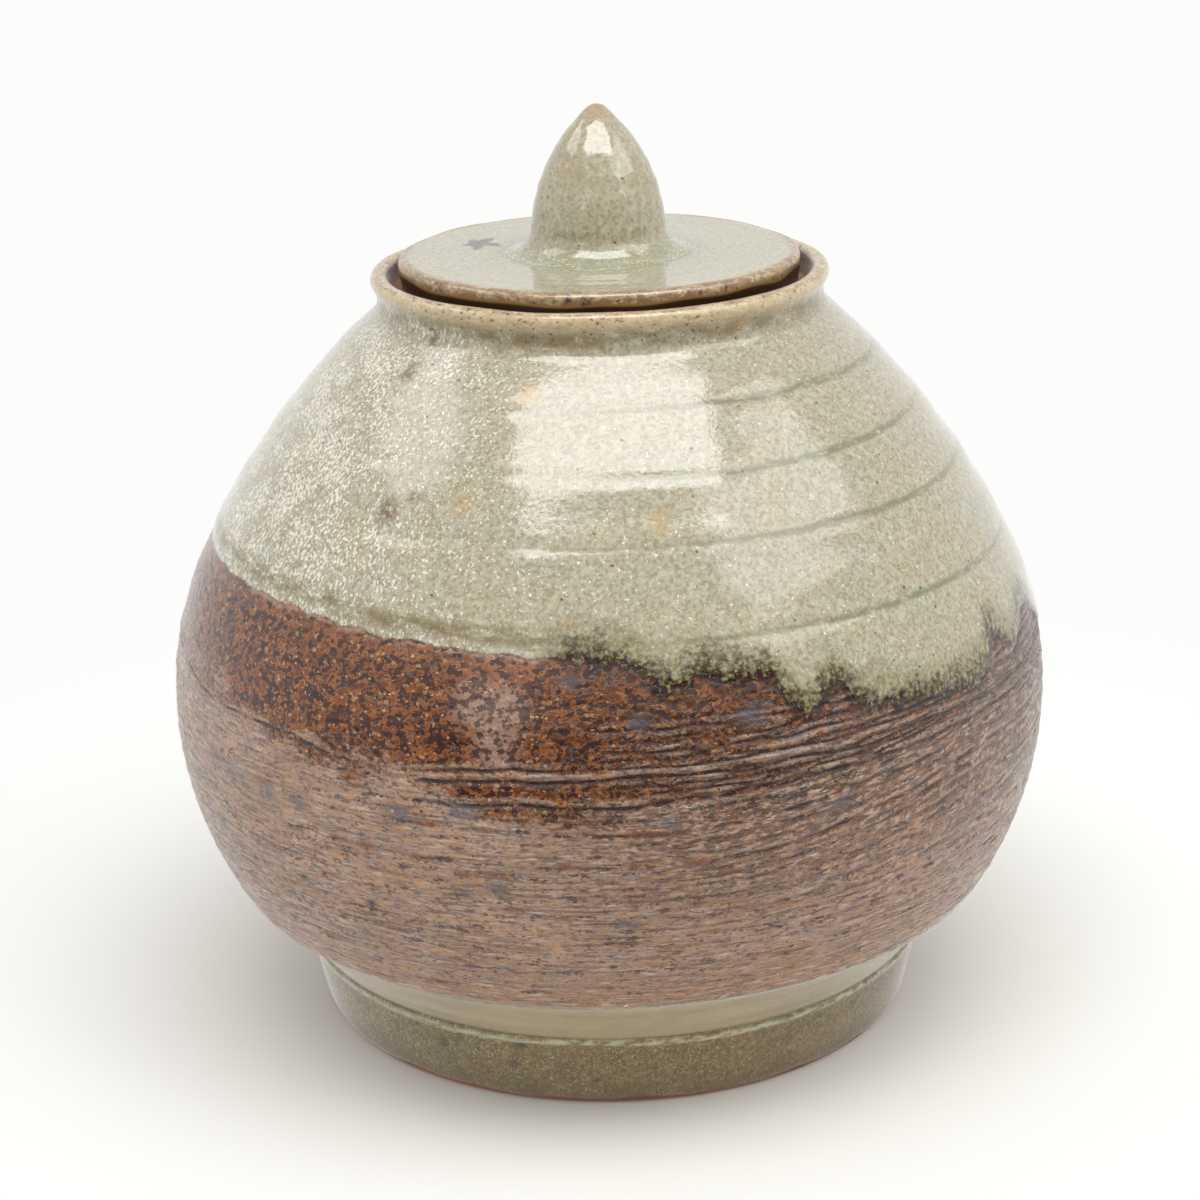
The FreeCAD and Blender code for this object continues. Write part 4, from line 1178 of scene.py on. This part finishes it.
def makeLidGlaze():
    # glossy pale glaze, worn to peach on the rounded edge, ochre and dark brown below it: partly burnt glaze
    # and partly painted shade of the gap round the lid
    desk = newGlaze("lidGlaze", lid["tones"])
    onTop, onEdge, bare = desk["plateTop"], desk["plateEdge"], desk["bareSeat"]
    desk.colour = desk.effects(ashGlaze, Bloom=0.02, Specks=0.12, **toneSet(lid["ash"]))[0]
    greenRing(desk)
    blotch = desk.clouds(1, 1, 93, 0.3, 0.55)
    desk.coat("gold", desk["goldSpot"] * blotch * 0.6)
    desk.coat("star", desk.span(desk["star"] + 0.5 * (blotch - 0.5), 0.1, 0.6) * 0.9)
    top = desk.colour

    rim = desk.colour = desk.effects(wornRim, Cream="cream", Tan="tan", Wear=0.85)[0]
    # painted shade of the gap round the lid, partly burnt glaze: ochre, then dark brown low on the side
    desk.coat("ochre", desk.span(desk["plateLow"], 0.05, 0.5))
    desk.coat("brown", desk.span(desk["plateLow"], 0.45, 0.9))
    desk.coat(top, onTop)
    speckle = desk.most(desk.span(onEdge, 0.6, 1), onEdge * desk.clouds(0.7, 0.7, 94, 0.4, 0.55))
    desk.coat(rim, speckle * 0.85)
    desk.coat("spot", desk["spots"] * blotch)
    desk.coat(desk.effects(bareClay)[0], bare)
    rough = desk.most(desk.span(onTop, 0, 1, 0.28, 0.05), speckle * 0.2, bare * 0.8)
    ripple = desk.noise(desk.vectors("MULTIPLY", desk.skin, (0.5, 0.5, 0.5)), 2)
    return firedShader(desk, rough, ripple * 0.25 + speckle * 0.4, **lid["fired"])


makeLidPlate()


flange = {
    "columns": 240, "depth": 0.00012, "roughness": 0.78,
    "bore": 31.6, "outer": 36.1, "taper": 0.5, "lowRound": 1.0,     # millimetres
    "ringDepth": 0.10, "ringPitch": 2.3, "flashWander": (0.8, 5, 1, 7),
    "tones": {"light": (176, 134, 100), "dark": (122, 84, 60), "flash": (166, 104, 62)},
}


def makeLidFlange():
    base, top = nodeSize("lid_flange")[1:]
    outerTop, boreTop = (flange["outer"], top), (flange["bore"], top)
    outerLow = (flange["outer"] - flange["taper"], base)
    boreLow = (flange["bore"] + flange["taper"], base)
    outerArc = roundedCorner(boreLow, outerLow, outerTop, flange["lowRound"])
    boreArc = roundedCorner(boreTop, boreLow, outerLow, flange["lowRound"])
    outline = joinStretches([
        ("bottom", [boreArc[-1], outerArc[0]], 3),
        ("outerRound", outerArc, 5),
        ("outerSide", [outerTop], 16),
        ("top", [boreTop], 4),
        ("boreSide", [boreArc[0]], 14),
        ("boreRound", boreArc, 5),
    ], closed=True)
    angle = columnAngles(flange["columns"])
    height, row, starts, _ = readings(outline)
    walls = (row > starts["outerSide"]) & (row < starts["top"]) | (row > starts["boreSide"] + 1)
    # a groove that winds down: its depth goes as half of 1 + cos of the height less the slope
    turn = fullTurn * (height - flange["ringPitch"] / fullTurn * angle) / flange["ringPitch"]
    push = -1.0 * walls * flange["ringDepth"] * (0.5 + 0.5 * np.cos(turn))
    push = push * ease(top - height, 0.2, 1.2)
    flash = 1 - ease(height + wander(angle, 41, flange["flashWander"]), base, top)
    piece = turnedPiece("lidFlange", outline, flange["columns"], push, {"flash": flash})
    settle(piece, "lid_flange", makeFlangeClay())


def makeFlangeClay():
    # bare clay, flashed orange towards its lower edge
    desk = newGlaze("flangeClay", flange["tones"])
    desk.colour, grain = desk.effects(bareClay, Light="light", Dark="dark")
    desk.coat("flash", desk["flash"] * desk.clouds(8, 4, 95, 0.3, 0.65) * 0.7)
    return firedShader(desk, flange["roughness"], grain, flange["depth"])


makeLidFlange()


knob = {
    "columns": 220, "fired": {"depth": 0.00005, "ior": 1.6}, "roughness": 0.07,
    "tipRound": 2.5, "widest": 13.4, "widestAt": 3.5, "cove": 5.5, "skirt": 0.01, "sunk": 0.3,
    "wobble": 0.13, "ridges": 0.07,
    "tanRises": (4.5, 0.5), "pinkAt": (12, 7),      # below the peak
    "greenFades": (0.6, 5.0),                       # above the base
    "ash": {"Warm": (174, 167, 142), "Grey": (166, 163, 140), "Shade": (144, 130, 104),
            "Pale": (190, 186, 164), "Gold": (184, 170, 138), "Crystal": (200, 196, 176),
            "Speck": (64, 54, 44)},
    "tones": {"tip": (164, 136, 100), "pink": (156, 136, 108), "green": (136, 142, 112),
              "greenPale": (206, 212, 186), "speck": (64, 54, 44)},
}


def makeLidKnob():
    base, peak = nodeSize("lid_knob")[1:]
    tipRound, widest, cove = knob["tipRound"], knob["widest"], knob["cove"]
    level = base + knob["widestAt"]
    tipCentre = np.array([0, peak - tipRound])
    rise = tipCentre[1] - level
    # the side's circle holds the tip's circle, so (R - widest)^2 + rise^2 = (R - tipRound)^2
    sideRadius = (widest ** 2 + rise ** 2 - tipRound ** 2) / (2 * (widest - tipRound))
    sideCentre = np.array([widest - sideRadius, level])
    coveLevel = base + knob["skirt"] + cove
    reach = math.sqrt((sideRadius + cove) ** 2 - (coveLevel - level) ** 2)
    coveCentre = np.array([sideCentre[0] + reach, coveLevel])
    skirt = coveCentre - (0, cove)
    leavesCove = towards(sideCentre, coveCentre, sideRadius)
    entersTip = towards(tipCentre, tipCentre - sideCentre + tipCentre, tipRound)
    outline = joinStretches([
        ("underside", [(0, base - knob["sunk"]), (skirt[0], base - knob["sunk"])], 3),
        ("hem", [skirt], 1),
        ("cove", arcPoints(coveCentre, skirt, leavesCove), 18),
        ("side", arcPoints(sideCentre, leavesCove, entersTip), 44),
        ("tip", arcPoints(tipCentre, entersTip, (0, peak)), 8),
    ])
    angle = columnAngles(knob["columns"])
    height, row, starts, _ = readings(outline)
    free = within(row, (starts["cove"] + 4, starts["side"] + 4), (starts["tip"], starts["tip"] + 8))
    push = free * (knob["wobble"] * waves(angle, height, 51, 5, (1, 3), (18, 60))
                   + knob["ridges"] * waves(angle, height, 52, 6, (0, 2), (3.4, 6.5)))
    marks = {
        "tip": ease(peak - height, *knob["tanRises"]),
        "green": 1 - ease(height - base, *knob["greenFades"]),
        "pink": hump(peak - height, *knob["pinkAt"])
        * (0.6 + 0.4 * waves(angle, height, 53, 6, (1, 5), (10, 30))),
    }
    piece = turnedPiece("lidKnob", outline, knob["columns"], push, marks)
    settle(piece, "lid_knob", makeKnobGlaze())


def makeKnobGlaze():
    # glossy grey-beige glaze, thin and tan at the tip, thick and green in the cove
    desk = newGlaze("knobGlaze", knob["tones"])
    desk.colour = desk.effects(ashGlaze, Bloom=0.04, Specks=0.8, **toneSet(knob["ash"]))[0]
    mottle = desk.clouds(1.6, 2.2, 96, 0.35, 0.6)
    desk.coat("pink", desk["pink"] * mottle * 0.6)
    desk.coat("speck", desk.flecks(1.6, 1.8, 97, 0.16, 0.5, 0.5) * 0.6)
    desk.coat("tip", desk["tip"] * (0.4 + 0.5 * mottle))
    greenRing(desk)
    return firedShader(desk, knob["roughness"], mottle * 0.3, **knob["fired"])


makeLidKnob()
